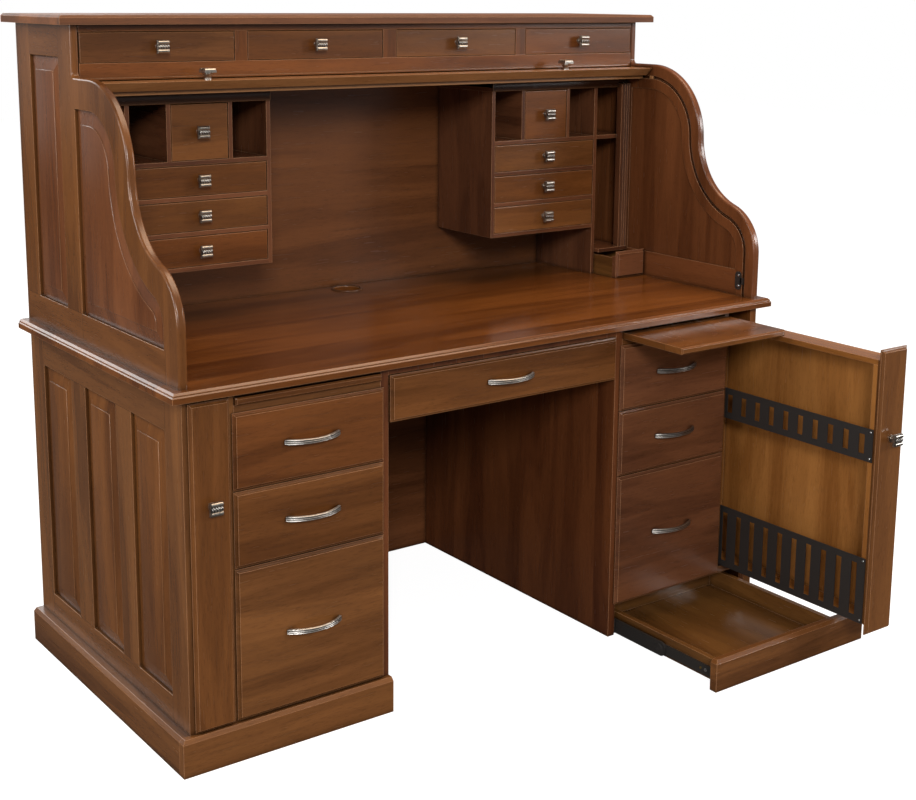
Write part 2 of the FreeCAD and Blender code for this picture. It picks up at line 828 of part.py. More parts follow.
def make_top_drawers():
    for number, opening in enumerate(row_openings, start=1):
        inset_drawer(f"top_drawer_{number}", opening, row_z, case_front, mm.row_drawer_depth)


# Organizers

def make_organizer(side, sign):
    y = organizer_y
    board = mm.organizer_board
    low_shelf = (desk_top + mm.hidden_drawer_rise, desk_top + mm.hidden_drawer_rise + board)
    column = (upright[1], upper_inner)
    pilaster_y = (y[0] - mm.pilaster_depth, y[0])
    cells = (cells_start, upright[0])
    spans = {
        "inner_side": ((organizer_inner, cells_start), y, (organizer_floor, organizer_top[0])),
        "upright": (upright, y, (desk_top, organizer_top[0])),
        "top": ((organizer_inner, upper_inner), y, organizer_top),
        "floor": (cells, y, (organizer_floor, organizer_floor + board)),
        "row_floor": (cells, y, (row_floor_z, row_cell[0])),
        "column_shelf": (column, y, (row_floor_z, row_cell[0])),
        "low_shelf": (column, (pilaster_y[0], y[1]), low_shelf),
    }
    for number, (upper, lower) in enumerate(zip(drawer_cells, drawer_cells[1:]), start=1):
        spans[f"shelf_{number}"] = (cells, y, (lower[1], upper[0]))
    for number, span in enumerate(dividers, start=1):
        spans[f"divider_{number}"] = (span, y, row_cell)
    boards = [
        box(f"organizer_{side}_{name}", sided(sign, x), depth, z)
        for name, (x, depth, z) in spans.items()
    ]
    x = sided(sign, (upper_inner - mm.pilaster_width, upper_inner))
    z = (low_shelf[1], organizer_top[1])
    post = box(f"pilaster_post_{side}", x, pilaster_y, z)
    pitch = mm.pilaster_width / (FLUTES + 1)
    flutes = []
    for i in range(1, FLUTES + 1):
        place = (x[0] + pitch * i, pilaster_y[0], z[0])
        flutes.append(cylinder(f"flute_{side}_{i}", "up", mm.flute_radius, place, z[1] - z[0]))
    boards.append(cut(f"pilaster_{side}", post, flutes))
    node(f"organizer_{side}", boards)


def make_organizer_drawers(side, sign):
    front_y = organizer_y[0]
    depth = mm.organizer_drawer_depth
    small = sided(sign, (dividers[0][1], dividers[1][0]))
    inset_drawer(f"{side}_organizer_small_drawer", small, row_cell, front_y, depth)
    wide = sided(sign, (cells_start, upright[0]))
    for number, cell in enumerate(drawer_cells, start=1):
        inset_drawer(f"{side}_organizer_drawer_{number}", wide, cell, front_y, depth)


def make_hidden_drawer(side, sign, open_by):
    """Small drawer under the letter slot, its lip in front of the pilaster's shelf board."""
    label = f"hidden_drawer_{side}"
    shelf_front = organizer_y[0] - mm.pilaster_depth
    y = shelf_front - open_by
    x = sided(sign, grown((upright[1], upper_inner), -mm.front_gap))
    z = (desk_top + mm.run_clearance, desk_top + mm.hidden_drawer_rise - mm.front_gap)
    lip_z = (z[0], desk_top + mm.hidden_drawer_rise + mm.organizer_board + mm.front_gap)
    front = lipped_front(label, x, y, lip_z, x, z)
    box_y = (y + mm.front_body, y + mm.organizer_drawer_depth)
    box_z = (z[0], z[1] - mm.small_top_gap)
    boards = drawer_boards(label, x, box_y, box_z, mm.small_wall, mm.small_floor)
    node(label, [front] + boards)


# Pedestals

side_panel_width = (
    pedestal_back + mm.modesty_thick - pedestal_front - mm.side_stile * 2
    - mm.side_between * (PEDESTAL_PANELS - 1)) / PEDESTAL_PANELS


def side_openings():
    start = pedestal_front + mm.side_stile
    step = side_panel_width + mm.side_between
    return [(start + step * i, start + step * i + side_panel_width) for i in range(PEDESTAL_PANELS)]


def make_pedestal_side(side, sign):
    z = (ZERO, desk_under)
    panel_z = (mm.side_bottom_rail, desk_under - mm.side_top_rail)
    x = (side_inner, pedestal_half)
    board = box(f"side_board_{side}", sided(sign, x), (pedestal_front, back), z)
    through = sided(sign, grown(x, mm.overrun))
    holes = [box(f"side_hole_{side}_{i}", through, y, panel_z) for i, y in enumerate(side_openings())]
    node(f"pedestal_side_{side}", [cut(f"pedestal_frame_{side}_side", board, holes)])
    panels = []
    edge = pedestal_half - mm.panel_edge_depth
    field = pedestal_half - mm.panel_field_depth
    for i, y in enumerate(side_openings()):
        name = f"side_panel_{side}_{i}"
        flat = box(f"{name}_flat", sided(sign, (side_inner + mm.panel_back_depth, edge)), y, panel_z)
        depth = (edge, field) if sign > 0 else (-edge, -field)
        raised = frustum(f"{name}_raised", side, y, panel_z, depth, (mm.panel_bevel,) * 4)
        panels.append(fuse(name, [flat, raised]))
    return panels


def make_inner_sides():
    y = (pedestal_front, back)
    boards = [
        box(f"inner_side_{side}", sided(sign, (knee, bay_inner)), y, (ZERO, desk_under))
        for side, sign in SIDES.items()
    ]
    apron_y = (pedestal_front, pedestal_front + mm.apron_thick)
    boards.append(box("apron", (-knee, knee), apron_y, (desk_under - mm.apron_height, desk_under)))
    node("inner_sides", boards)


def make_pedestal_frame(side, sign):
    """Floor, partition beside the media bay, and the rails between the drawers."""
    depth = (pedestal_front, pedestal_back)
    rail_y = (pedestal_front, pedestal_front + mm.frame_depth)
    floor_z = (mm.plinth_height, mm.plinth_height + mm.pedestal_floor)
    inside = sided(sign, bay)
    partition_x = sided(sign, (partition_inner, partition_outer))
    boards = [
        box(f"pedestal_floor_{side}", sided(sign, (bay_inner, side_inner)), depth, floor_z),
        box(f"partition_{side}", partition_x, depth, (floor_z[1], desk_under)),
        box(f"sub_rail_{side}", inside, rail_y, (slot[1], desk_under)),
        box(f"slide_shelf_{side}", inside, (pedestal_front, pedestal_back), (upper_opening[1], slot[0])),
    ]
    for number, (upper, lower) in enumerate(zip(drawer_openings, drawer_openings[1:]), start=1):
        boards.append(box(f"drawer_rail_{side}_{number}", inside, rail_y, (lower[1], upper[0])))
    node(f"pedestal_frame_{side}", boards)


def chamfered_board(name, x, y, z, insets):
    shoulder = z[1] - mm.plinth_chamfer
    low = box(f"{name}_low", x, y, (z[0], shoulder))
    top = frustum(f"{name}_top", "up", x, y, (shoulder, z[1]), insets)
    return fuse(name, [low, top])


plinth_half = pedestal_half + mm.plinth_side_thick
plinth_y = (pedestal_front - mm.plinth_thick, pedestal_front)


def make_plinth():
    chamfer = mm.plinth_chamfer
    z = (ZERO, mm.plinth_height)
    boards = []
    for side, sign in SIDES.items():
        x = sided(sign, (pedestal_half, plinth_half))
        insets = (ZERO, chamfer, ZERO, ZERO) if sign > 0 else (chamfer, ZERO, ZERO, ZERO)
        boards.append(chamfered_board(f"plinth_side_{side}", x, (pedestal_front, back), z, insets))
    front_x = (-plinth_half, -knee)
    boards.append(chamfered_board("plinth_front", front_x, plinth_y, z, (chamfer, ZERO, chamfer, ZERO)))
    node("plinth", boards)


# Drawers that run on steel slides

slide_fixed = mm.slide_member
slide_moving = mm.slide_space - mm.slide_member - mm.run_clearance
fixed_slides = []


def side_slides(name, x, y, centre_z, open_by):
    """Fixed bars on both walls of a bay, and the moving bars on the drawer's sides."""
    z = (centre_z - mm.slide_height / 2, centre_z + mm.slide_height / 2)
    moving_y = moved(y, -open_by)
    inner = grown(x, -mm.slide_space)
    fixed_slides.append(box(f"{name}_fixed_a", (x[0], x[0] + slide_fixed), y, z))
    fixed_slides.append(box(f"{name}_fixed_b", (x[1] - slide_fixed, x[1]), y, z))
    return [
        box(f"{name}_moving_a", (inner[0] - slide_moving, inner[0]), moving_y, z),
        box(f"{name}_moving_b", (inner[1], inner[1] + slide_moving), moving_y, z),
    ]


def make_pedestal_drawers(side, sign):
    y = pedestal_front
    bay_x = sided(sign, bay)
    front_x = grown(bay_x, mm.front_lap)
    box_x = grown(bay_x, -mm.slide_space)
    lows = [lower[1] + mm.front_lap for lower in drawer_openings[1:]] + [mm.plinth_height]
    for number, (opening, low) in enumerate(zip(drawer_openings, lows), start=1):
        label = f"{side}_drawer_{number}"
        front_z = (low + mm.front_reveal, opening[1] + mm.front_lap)
        body_z = grown(opening, -mm.front_gap)
        front = lipped_front(label, front_x, y, front_z, grown(bay_x, -mm.front_gap), body_z)
        box_y = (y + mm.front_body, y + mm.front_body + mm.pedestal_drawer_depth)
        box_z = (body_z[0], body_z[1] - mm.box_top_gap)
        boards = drawer_boards(label, box_x, box_y, box_z, mm.box_wall, mm.box_floor)
        slide_y = (box_y[0] + mm.front_gap, box_y[0] + mm.slide_length)
        bars = side_slides(label, bay_x, slide_y, middle(box_z), ZERO)
        node(label, [front] + boards + bars)
        pull = f"{side}_pull_{number}"
        node(pull, [bow_pull(pull, middle(front_x), y - mm.front_lip, middle(opening))])


def make_centre_drawer():
    y = pedestal_front
    space = (-knee, knee)
    top = desk_under - mm.apron_height - mm.front_gap
    box_x = grown(space, -mm.slide_space)
    front_z = (top - mm.centre_front_height, top)
    box_z = (middle(front_z) - mm.centre_box_height / 2, middle(front_z) + mm.centre_box_height / 2)
    front = lipped_front("centre_drawer", grown(space, -mm.centre_front_gap), y, front_z, box_x, box_z)
    box_y = (y + mm.front_body, y + mm.front_body + mm.centre_drawer_depth)
    boards = drawer_boards("centre_drawer", box_x, box_y, box_z, mm.box_wall, mm.box_floor)
    slide_y = (box_y[0] + mm.front_gap, box_y[0] + mm.centre_drawer_depth)
    bars = side_slides("centre_drawer", space, slide_y, middle(box_z), ZERO)
    node("centre_drawer", [front] + boards + bars)
    node("centre_pull", [bow_pull("centre_pull", ZERO, y - mm.front_lip, middle(front_z))])


def make_writing_slide(side, sign, open_by):
    y = pedestal_front - open_by
    z = (slot[0] + mm.run_clearance, slot[0] + mm.run_clearance + mm.writing_board)
    x = grown(sided(sign, bay), -mm.front_gap)
    face = y - mm.front_lip
    shoulder = face + mm.front_bevel
    pieces = [
        box(f"writing_board_{side}", x, (shoulder, y + mm.writing_depth), z),
        frustum(f"writing_edge_{side}", "front", x, z, (shoulder, face), (mm.front_bevel,) * 4),
    ]
    node(f"writing_slide_{side}", [fuse(f"writing_slide_{side}", pieces)])


def pocket_plate(name, x, y, z):
    """Steel pocket front, pierced by a row of plain upright slots."""
    plate = box(f"{name}_plate", x, y, z)
    length = y[1] - y[0]
    count = int((length.value - mm.pocket_slot_margin.value) // mm.pocket_slot_pitch.value)
    first = y[0] + (length - mm.pocket_slot_pitch * (count - 1)) / 2 - mm.pocket_slot_width / 2
    slot_z = grown(z, -mm.pocket_slot_margin)
    through = grown(x, mm.overrun)
    slots = []
    for i in range(count):
        start = first + mm.pocket_slot_pitch * i
        slots.append(box(f"{name}_slot_{i}", through, (start, start + mm.pocket_slot_width), slot_z))
    return cut(name, plate, slots)


def make_media(side, sign, open_by):
    """Pull-out beside the drawers: a tall front, a shallow tray open towards the kneehole, two pockets."""
    label = f"media_{side}"
    y = pedestal_front - open_by
    front_x = (partition_inner + mm.front_lap + mm.media_front_gap, side_inner + mm.media_front_lap)
    front_z = (mm.plinth_height + mm.media_front_rise, slot[1])
    tray_x = (partition_outer + mm.media_tray_gap + mm.pocket_sheet, side_inner - mm.slide_space)
    tray_z = (front_z[0] + mm.media_tray_rise, slot[1] - mm.media_tray_top_gap)
    front = lipped_front(label, sided(sign, front_x), y, front_z, sided(sign, tray_x), tray_z)
    tray_y = (y + mm.front_body, y + mm.front_body + mm.media_tray_depth)
    wall = mm.media_tray_wall
    ply = mm.box_floor
    inside_x = (tray_x[0], tray_x[1] - ply)
    inside_z = grown(tray_z, -wall)
    spans = {
        "ply": ((tray_x[1] - ply, tray_x[1]), tray_y, tray_z),
        "top": (inside_x, tray_y, (tray_z[1] - wall, tray_z[1])),
        "bottom": (inside_x, tray_y, (tray_z[0], tray_z[0] + wall)),
        "front": (inside_x, (tray_y[0], tray_y[0] + wall), inside_z),
        "rear": (inside_x, (tray_y[1] - wall, tray_y[1]), inside_z),
    }
    boards = [box(f"{label}_{name}", sided(sign, x), depth, z) for name, (x, depth, z) in spans.items()]
    slide_y = moved((tray_y[0] + mm.front_gap, tray_y[0] + mm.slide_length), open_by)
    for where, centre in (("low", tray_z[0] + mm.slide_height), ("high", tray_z[1] - mm.slide_height)):
        z = (centre - mm.slide_height / 2, centre + mm.slide_height / 2)
        fixed_x = sided(sign, (side_inner - slide_fixed, side_inner))
        moving_x = sided(sign, (tray_x[1], tray_x[1] + slide_moving))
        fixed_slides.append(box(f"{label}_fixed_{where}", fixed_x, slide_y, z))
        boards.append(box(f"{label}_moving_{where}", moving_x, moved(slide_y, -open_by), z))
    knob_z = front_z[0] + (front_z[1] - front_z[0]) * MEDIA_KNOB_SHARE
    boards.append(knob(f"{label}_knob", "front", middle(sided(sign, front_x)), y - mm.front_lip, knob_z))
    node(label, [front] + boards)
    sheet_x = sided(sign, (tray_x[0] - mm.pocket_sheet, tray_x[0]))
    upper_low = tray_z[0] + mm.upper_pocket_rise
    upper_z = (upper_low, upper_low + mm.upper_pocket_height)
    lower_z = (tray_z[0], tray_z[0] + mm.lower_pocket_height)
    node(f"media_pockets_{side}", [
        pocket_plate(f"upper_pocket_{side}", sheet_x, tray_y, upper_z),
        pocket_plate(f"lower_pocket_{side}", sheet_x, tray_y, lower_z),
    ])


def make_base_drawer():
    """Shallow drawer behind the right plinth front, on three-part slides."""
    open_by = mm.base_open
    y = moved(plinth_y, -open_by)
    chamfer = mm.plinth_chamfer
    front_z = (mm.base_floor_gap, mm.base_floor_gap + mm.base_front_height)
    front_x = (knee - mm.base_front_lap, plinth_half)
    front = chamfered_board("base_front", front_x, y, front_z, (chamfer, chamfer, chamfer, ZERO))
    bay_x = (bay_inner, side_inner)
    box_x = grown(bay_x, -mm.slide_space)
    box_y = (y[1], y[1] + mm.base_drawer_depth)
    box_z = (mm.base_box_rise, mm.base_box_rise + mm.base_box_height)
    boards = [front] + drawer_boards("base_drawer", box_x, box_y, box_z, mm.box_wall, mm.box_floor)
    centre = middle(box_z) - mm.base_slide_drop
    member = mm.base_slide_member
    gap = (mm.slide_space - member * 3) / 2
    slide_y = (plinth_y[1] + mm.front_gap, plinth_y[1] + mm.front_gap + mm.base_slide_length)
    tall = grown((centre, centre), mm.base_slide_height / 2)
    slim = grown((centre, centre), mm.base_inner_height / 2)
    middles = []
    for name, x, sign in (("a", bay_x[0], 1), ("b", bay_x[1], -1)):
        offsets = [ZERO, member + gap, (member + gap) * 2]
        spans = []
        for offset in offsets:
            low = x + offset * sign
            high = x + (offset + member) * sign
            spans.append((low, high) if sign > 0 else (high, low))
        fixed_slides.append(box(f"base_fixed_{name}", spans[0], slide_y, tall))
        middles.append(box(f"base_middle_{name}", spans[1], moved(slide_y, -(open_by / 2)), tall))
        boards.append(box(f"base_inner_{name}", spans[2], moved(slide_y, -open_by), slim))
    node("base_drawer", boards)
    node("base_slide_middle", middles)


# Tambour cover

def make_lift_rail():
    """Rail at the cover's front edge: a thin sloping lip, a thicker body, and pins that ride in the track."""
    half = upper_inner - mm.rail_end_gap
    top = s_top - mm.rail_below_edge
    z = (top - mm.rail_thick, top)
    y = (case_front - mm.rail_front, rail_rear)
    slope = mm.rail_front_slope
    x = (-half, half)
    lip_z = (top - mm.rail_lip_thick, top)
    lip_end = y[0] + mm.rail_lip_depth
    pieces = [
        frustum("rail_lip", "up", x, (y[0] + slope, lip_end), lip_z, (ZERO, ZERO, -slope, ZERO)),
        box("rail_body", x, (lip_end, y[1]), z),
    ]
    pin_y = grown((bulge_y, bulge_y), mm.rail_pin_depth / 2)
    pin_z = grown((track_z, track_z), mm.slat_thick / 2)
    reach = upper_inner + mm.slat_engagement
    for side, sign in SIDES.items():
        pieces.append(box(f"rail_pin_{side}", sided(sign, (half, reach)), pin_y, pin_z))
    node("lift_rail", [fuse("lift_rail", pieces)])
    spots = (-(mm.rail_knob_spacing / 2), mm.rail_knob_spacing / 2)
    knobs = [knob(f"rail_knob_{i}", "up", x, middle(y), z[1]) for i, x in enumerate(spots, start=1)]
    node("rail_knobs", knobs)


def track_place(distance):
    """Place and turn on the stored track, a distance behind the lift rail."""
    flat = turn_y.value - rail_rear.value
    radius = mm.track_turn_radius.value
    quarter = radius * math.pi / 2
    if distance < flat:
        return rail_rear.value + distance, track_z.value, 0.0
    if distance < flat + quarter:
        angle = (distance - flat) / radius
        return turn_y.value + radius * math.sin(angle), turn_z.value + radius * math.cos(angle), angle
    return curtain_y.value, turn_z.value - (distance - flat - quarter), math.pi / 2


def make_curtain():
    length = 2 * (upper_inner.value + mm.slat_engagement.value)
    thick = mm.slat_thick.value
    width = mm.slat_width.value
    stored = turn_y.value - rail_rear.value + mm.track_turn_radius.value * math.pi / 2
    count = int((stored + turn_z.value - curtain_end.value) // mm.slat_pitch.value)
    slats = []
    for i in range(count):
        y, z, angle = track_place((i + 1 / 2) * mm.slat_pitch.value)
        slat = Part.makeBox(length, width, thick, at(-length / 2, -width / 2, -thick / 2))
        turn = FreeCAD.Rotation(FreeCAD.Vector(1, 0, 0), -math.degrees(angle))
        slat.Placement = FreeCAD.Placement(at(0, y, z), turn).multiply(slat.Placement)
        slats.append(slat)
    slat_group = solid("tambour_slats", Part.makeCompound(slats))
    node("tambour_slats", [slat_group])
    x = rail_rear.value
    radius = mm.track_turn_radius.value
    turn = (turn_y.value, turn_z.value)
    end = track_place(count * mm.slat_pitch.value)[1]
    near = thick / 2
    far = near + mm.canvas_thick.value
    half = upper_inner.value - mm.rail_end_gap.value
    edges = []
    for offset in (near, far):
        edges += polyline(-half, [(x, track_z.value - offset), (turn[0], track_z.value - offset)])
        edges.append(arc(-half, turn, radius - offset, math.pi / 2, 0))
        edges += polyline(-half, [(curtain_y.value - offset, turn[1]), (curtain_y.value - offset, end)])
    edges += polyline(-half, [(x, track_z.value - near), (x, track_z.value - far)])
    edges += polyline(-half, [(curtain_y.value - near, end), (curtain_y.value - far, end)])
    canvas = across(closed_face(Part.__sortEdges__(edges)), 2 * half)
    node("tambour_canvas", [solid("tambour_canvas", canvas)])


def make_catch_plates():
    """Black plate with two screws behind the foot of each track, and the bolt that reaches over the track."""
    y = (foot + mm.catch_from_front, foot + mm.catch_from_front + mm.catch_width)
    z = (desk_top + mm.catch_above_desktop, desk_top + mm.catch_above_desktop + mm.catch_height)
    pieces = []
    for side, sign in SIDES.items():
        x = sided(sign, (upper_inner - mm.catch_thick, upper_inner))
        plate = box(f"catch_plate_{side}", x, y, z)
        face = x[0] if sign > 0 else x[1]
        facing = "left" if sign > 0 else "right"
        bolt_z = grown((middle(z), middle(z)), mm.catch_bolt_height / 2)
        bolt = box(f"catch_bolt_{side}", x, (y[0] - mm.catch_bolt_reach, y[0]), bolt_z)
        heads = []
        for where, place in (("low", -1), ("high", 1)):
            head_place = (face, middle(y), middle(z) + mm.catch_screw_spacing / 2 * place)
            screw = f"catch_screw_{side}_{where}"
            heads.append(cylinder(screw, facing, mm.catch_screw_radius, head_place, mm.catch_screw_head))
        pieces.append(fuse(f"catch_{side}", [plate, bolt] + heads))
    node("catch_plates", pieces)


make_top_board()
upper_panels = make_upper_sides()
make_backs()
make_drawer_row()
make_desktop()
make_grommet()
lower_panels = []
for side_name, side_sign in SIDES.items():
    on_right = side_sign > 0
    make_organizer(side_name, side_sign)
    make_organizer_drawers(side_name, side_sign)
    make_hidden_drawer(side_name, side_sign, mm.hidden_open if on_right else ZERO)
    lower_panels += make_pedestal_side(side_name, side_sign)
    make_pedestal_frame(side_name, side_sign)
    make_pedestal_drawers(side_name, side_sign)
    make_writing_slide(side_name, side_sign, mm.writing_open if on_right else ZERO)
    make_media(side_name, side_sign, mm.media_open if on_right else ZERO)
node("upper_side_panels", upper_panels)
node("pedestal_side_panels", lower_panels)
make_inner_sides()
make_plinth()
make_top_drawers()
make_centre_drawer()
make_base_drawer()
node("drawer_slides", fixed_slides)
make_lift_rail()
make_curtain()
make_catch_plates()
doc.recompute()

for thing in doc.Objects:
    if "Invalid" in thing.State or "Error" in thing.State:
        raise RuntimeError(f"{thing.Label} failed: {thing.State}")
for part in nodes:
    if part.Shape.isNull() or not part.Shape.isValid() or not part.Shape.Solids:
        raise RuntimeError(f"{part.Label} has no valid solid")

os.makedirs("parts", exist_ok=True)
for part in nodes:
    part.Shape.exportStep(f"parts/{part.Label}.step")
print(len(nodes), "nodes,", sum(len(part.Shape.Solids) for part in nodes), "solids")
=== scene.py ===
# %% [markdown]
# # A walnut roll-top desk
# The CAD model gives every board its place and size. This lesson dresses it: a camera at the photograph's
# angle, soft light, stained walnut with its grain along each board, and the metalwork that is too fine for
# the CAD solids. Everything is in metres, in the CAD model's own frame, and small sizes are written in
# millimetres. The left and right halves mirror each other, so much of the work runs once per side.

# %% The frame
import math

import bmesh
import bpy
from mathutils import Matrix, Vector


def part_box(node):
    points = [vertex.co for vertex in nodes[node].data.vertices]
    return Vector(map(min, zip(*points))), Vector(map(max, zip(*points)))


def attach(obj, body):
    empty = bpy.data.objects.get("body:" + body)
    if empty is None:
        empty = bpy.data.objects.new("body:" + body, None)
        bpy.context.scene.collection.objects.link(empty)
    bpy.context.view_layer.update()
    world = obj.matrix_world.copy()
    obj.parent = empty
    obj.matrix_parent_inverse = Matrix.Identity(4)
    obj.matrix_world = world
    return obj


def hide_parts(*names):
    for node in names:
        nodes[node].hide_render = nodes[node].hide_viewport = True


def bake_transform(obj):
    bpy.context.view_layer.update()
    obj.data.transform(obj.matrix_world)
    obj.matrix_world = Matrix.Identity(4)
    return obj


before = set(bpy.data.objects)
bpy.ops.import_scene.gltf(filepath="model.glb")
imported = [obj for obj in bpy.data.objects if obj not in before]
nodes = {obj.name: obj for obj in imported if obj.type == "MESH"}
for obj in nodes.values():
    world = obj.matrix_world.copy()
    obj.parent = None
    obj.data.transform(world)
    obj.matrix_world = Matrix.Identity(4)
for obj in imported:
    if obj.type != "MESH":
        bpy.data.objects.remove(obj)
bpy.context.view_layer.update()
MM = 0.001
SIDES = {"left": -1, "right": 1}

# %% [markdown]
# ## Camera
# The photograph keeps upright edges nearly upright, so its camera looks only a little down and its frame is
# shifted down, as with a view camera. A camera could be set by eye, but then one edge fits and the next
# doesn't. This place and these angles come from a fit to many straight edges of the desk, with a moderate
# shift, and the focal length is given in pixels of the photograph.

# %% Camera
PHOTO_WIDTH, PHOTO_HEIGHT = 916, 800
FOCAL_PIXELS, CENTRE_ROW = 1486.0, 280.0
SENSOR_WIDTH, CLIP_END = 36.0, 60.0
CAMERA_PLACE = (-1.9204, -3.1888, 1.4755)
YAW, PITCH, ROLL = (math.radians(angle) for angle in (-36.259, -10.766, 0.47))
ahead = Vector((-math.sin(YAW) * math.cos(PITCH), math.cos(YAW) * math.cos(PITCH), math.sin(PITCH)))
level_right = ahead.cross(Vector((0, 0, 1))).normalized()
level_up = level_right.cross(ahead)
right = math.cos(ROLL) * level_right + math.sin(ROLL) * level_up
up = right.cross(ahead)
lens = bpy.data.cameras.new("photo_camera")
lens.sensor_fit = "HORIZONTAL"
lens.sensor_width = SENSOR_WIDTH
lens.lens = FOCAL_PIXELS / PHOTO_WIDTH * SENSOR_WIDTH
lens.shift_y = -(PHOTO_HEIGHT / 2 - CENTRE_ROW) / PHOTO_WIDTH
lens.clip_end = CLIP_END
camera = bpy.data.objects.new("photo_camera", lens)
turn = Matrix((right, up, -ahead)).transposed().to_4x4()
camera.matrix_world = Matrix.Translation(CAMERA_PLACE) @ turn
bpy.context.collection.objects.link(camera)
bpy.context.scene.camera = camera
print("lens", round(lens.lens, 2), "mm, shift", round(lens.shift_y, 3))

# %% [markdown]
# ## Node helpers
# A finish is a small network of shader nodes. It could be drawn in the node editor, but written out it can
# be made again for each board. One function adds a node with its settings and fills its inputs. Colours are
# written as sRGB hex, as a paint chart gives them, and turned to the linear values that the renderer works
# with.

# %% Node helpers
def linear(code):
    """A six-digit sRGB hex colour as linear RGBA."""
    values = [int(code[i:i + 2], 16) / 255 for i in (0, 2, 4)]
    return tuple(v / 12.92 if v <= 0.04045 else ((v + 0.055) / 1.055) ** 2.4 for v in values) + (1.0,)


def fill(tree, node, inputs):
    """Fills a node's inputs, each with a value, a socket, or a node's first output."""
    for key, value in inputs.items():
        if isinstance(value, bpy.types.Node):
            value = value.outputs[0]
        if isinstance(value, bpy.types.NodeSocket):
            tree.links.new(value, node.inputs[key])
        else:
            node.inputs[key].default_value = value


def add(tree, kind, inputs=None, **settings):
    """Adds a node with its settings and links."""
    node = tree.nodes.new(kind)
    for key, value in settings.items():
        setattr(node, key, value)
    fill(tree, node, inputs or {})
    return node


def new_finish(name):
    """A new material, its node tree and its shader."""
    material = bpy.data.materials.new(name)
    material.use_nodes = True
    return material, material.node_tree, material.node_tree.nodes["Principled BSDF"]


WHITE = linear("ffffff")
print("node helpers ready, white is", WHITE)

# %% [markdown]
# ## White floor
# A catalogue picture stands on a sweep of white paper. Strong lamps could burn a floor to white, but they
# would flood the desk with light from below. Here the paper glows only for the camera and is a mid grey to
# every other ray. It is darker still to a mirrored ray, so that it doesn't veil the lacquer.

# %% White floor
FLOOR_HALF, FLOOR_GLOW, PAPER_ROUGH = 14.0, 0.9, 0.9
PAPER_TONE, PAPER_MIRRORED = linear("a0a0a0"), linear("505050")
bpy.context.scene.view_settings.view_transform = "Standard"
floor_mesh = bpy.data.meshes.new("studio_floor")
floor_shape = bmesh.new()
bmesh.ops.create_grid(floor_shape, x_segments=1, y_segments=1, size=FLOOR_HALF)
floor_shape.to_mesh(floor_mesh)
floor_shape.free()
studio_floor = bpy.data.objects.new("studio_floor", floor_mesh)
bpy.context.collection.objects.link(studio_floor)
paper, paper_tree, paper_shader = new_finish("white_paper_sweep")
ray = add(paper_tree, "ShaderNodeLightPath").outputs
glow = add(paper_tree, "ShaderNodeMapRange", {"Value": ray["Is Camera Ray"], "To Max": FLOOR_GLOW})
tones = {0: ray["Is Glossy Ray"], 6: PAPER_TONE, 7: PAPER_MIRRORED}
tone = add(paper_tree, "ShaderNodeMix", tones, data_type="RGBA").outputs[2]
fill(paper_tree, paper_shader, {
    "Base Color": tone, "Roughness": PAPER_ROUGH, "Specular IOR Level": 0.0,
    "Emission Color": WHITE, "Emission Strength": glow})
floor_mesh.materials.append(paper)
print("white floor", 2 * FLOOR_HALF, "m across")

# %% [markdown]
# ## White world
# Beyond the paper the studio is white too, and its light fills the shadows. One strength could serve both
# uses, but a world that looks white lights the desk so much that the lamps no longer count. So it is full
# white to the camera and dim as a light.

# %% White world
WORLD_LIGHT, WORLD_SEEN = 0.30, 1.0
world = bpy.data.worlds.new("studio")
bpy.context.scene.world = world
world.use_nodes = True
world_tree = world.node_tree
seen = add(world_tree, "ShaderNodeLightPath").outputs["Is Camera Ray"]
strength = add(world_tree, "ShaderNodeMapRange", {"Value": seen, "To Min": WORLD_LIGHT, "To Max": WORLD_SEEN})
fill(world_tree, world_tree.nodes["Background"], {"Color": WHITE, "Strength": strength})
print("world at", WORLD_LIGHT, "of its white")

# %% [markdown]
# ## Soft lights
# Softboxes give the light its direction, and lacquer shows each of them as a sheen. Point lamps would cast
# hard shadows, so these are area lamps as large as a studio's. The key stands high beside the camera and
# reaches under the rail, and one far to the right leaves the right drawers in the open trays' shade. The one
# overhead is warm, and the upper edges of the desktop and drawers mirror it. Every edge that looks up on the
# left side mirrors the one behind the desk, and the last one lights that side.

# %% Soft lights
# name: (place, target, width and height, watts, colour), in metres
SOFTBOXES = {
    "key_front_left": ((-3.4, -6.3, 3.7), (0.0, -0.4, 0.9), (1.6, 1.6), 310.0, "ffffff"),
    "key_front_right": ((4.4, -4.2, 2.4), (0.0, -0.4, 0.8), (1.2, 1.2), 105.0, "ffffff"),
    "top_soft": ((0.9, -1.0, 3.6), (0.0, -0.5, 0.8), (2.0, 2.0), 80.0, "ffe2c4"),
    "side_left": ((-3.9, -0.3, 1.9), (-0.8, -0.4, 0.8), (1.8, 1.8), 80.0, "ffffff"),
    "behind": ((-0.8, 4.6, 3.2), (-0.3, 0.0, 1.2), (5.0, 2.0), 150.0, "ffffff"),
}
for name, (place, target, size, watts, colour) in SOFTBOXES.items():
    lamp = bpy.data.lights.new(name, "AREA")
    lamp.energy = watts
    lamp.color = linear(colour)[:3]
    lamp.shape = "RECTANGLE"
    lamp.size, lamp.size_y = size
    holder = bpy.data.objects.new(name, lamp)
    holder.location = place
    holder.rotation_euler = (Vector(target) - Vector(place)).to_track_quat("-Z", "Y").to_euler()
    holder.visible_camera = False
    bpy.context.collection.objects.link(holder)
print(len(SOFTBOXES), "soft lights")

# %% [markdown]
# ## Which way the wood runs
# Wood is drawn out along its grain. A pattern could be stretched on a UV map, but CAD boards have none, so
# the object's coordinates are squeezed along one axis, which draws out every texture that reads them. A
# frame that is one solid in CAD is really stiles and rails: boxes in the Y and Z directions say where the
# rails lie, the pattern turns there, and a fine dark line marks the joint.

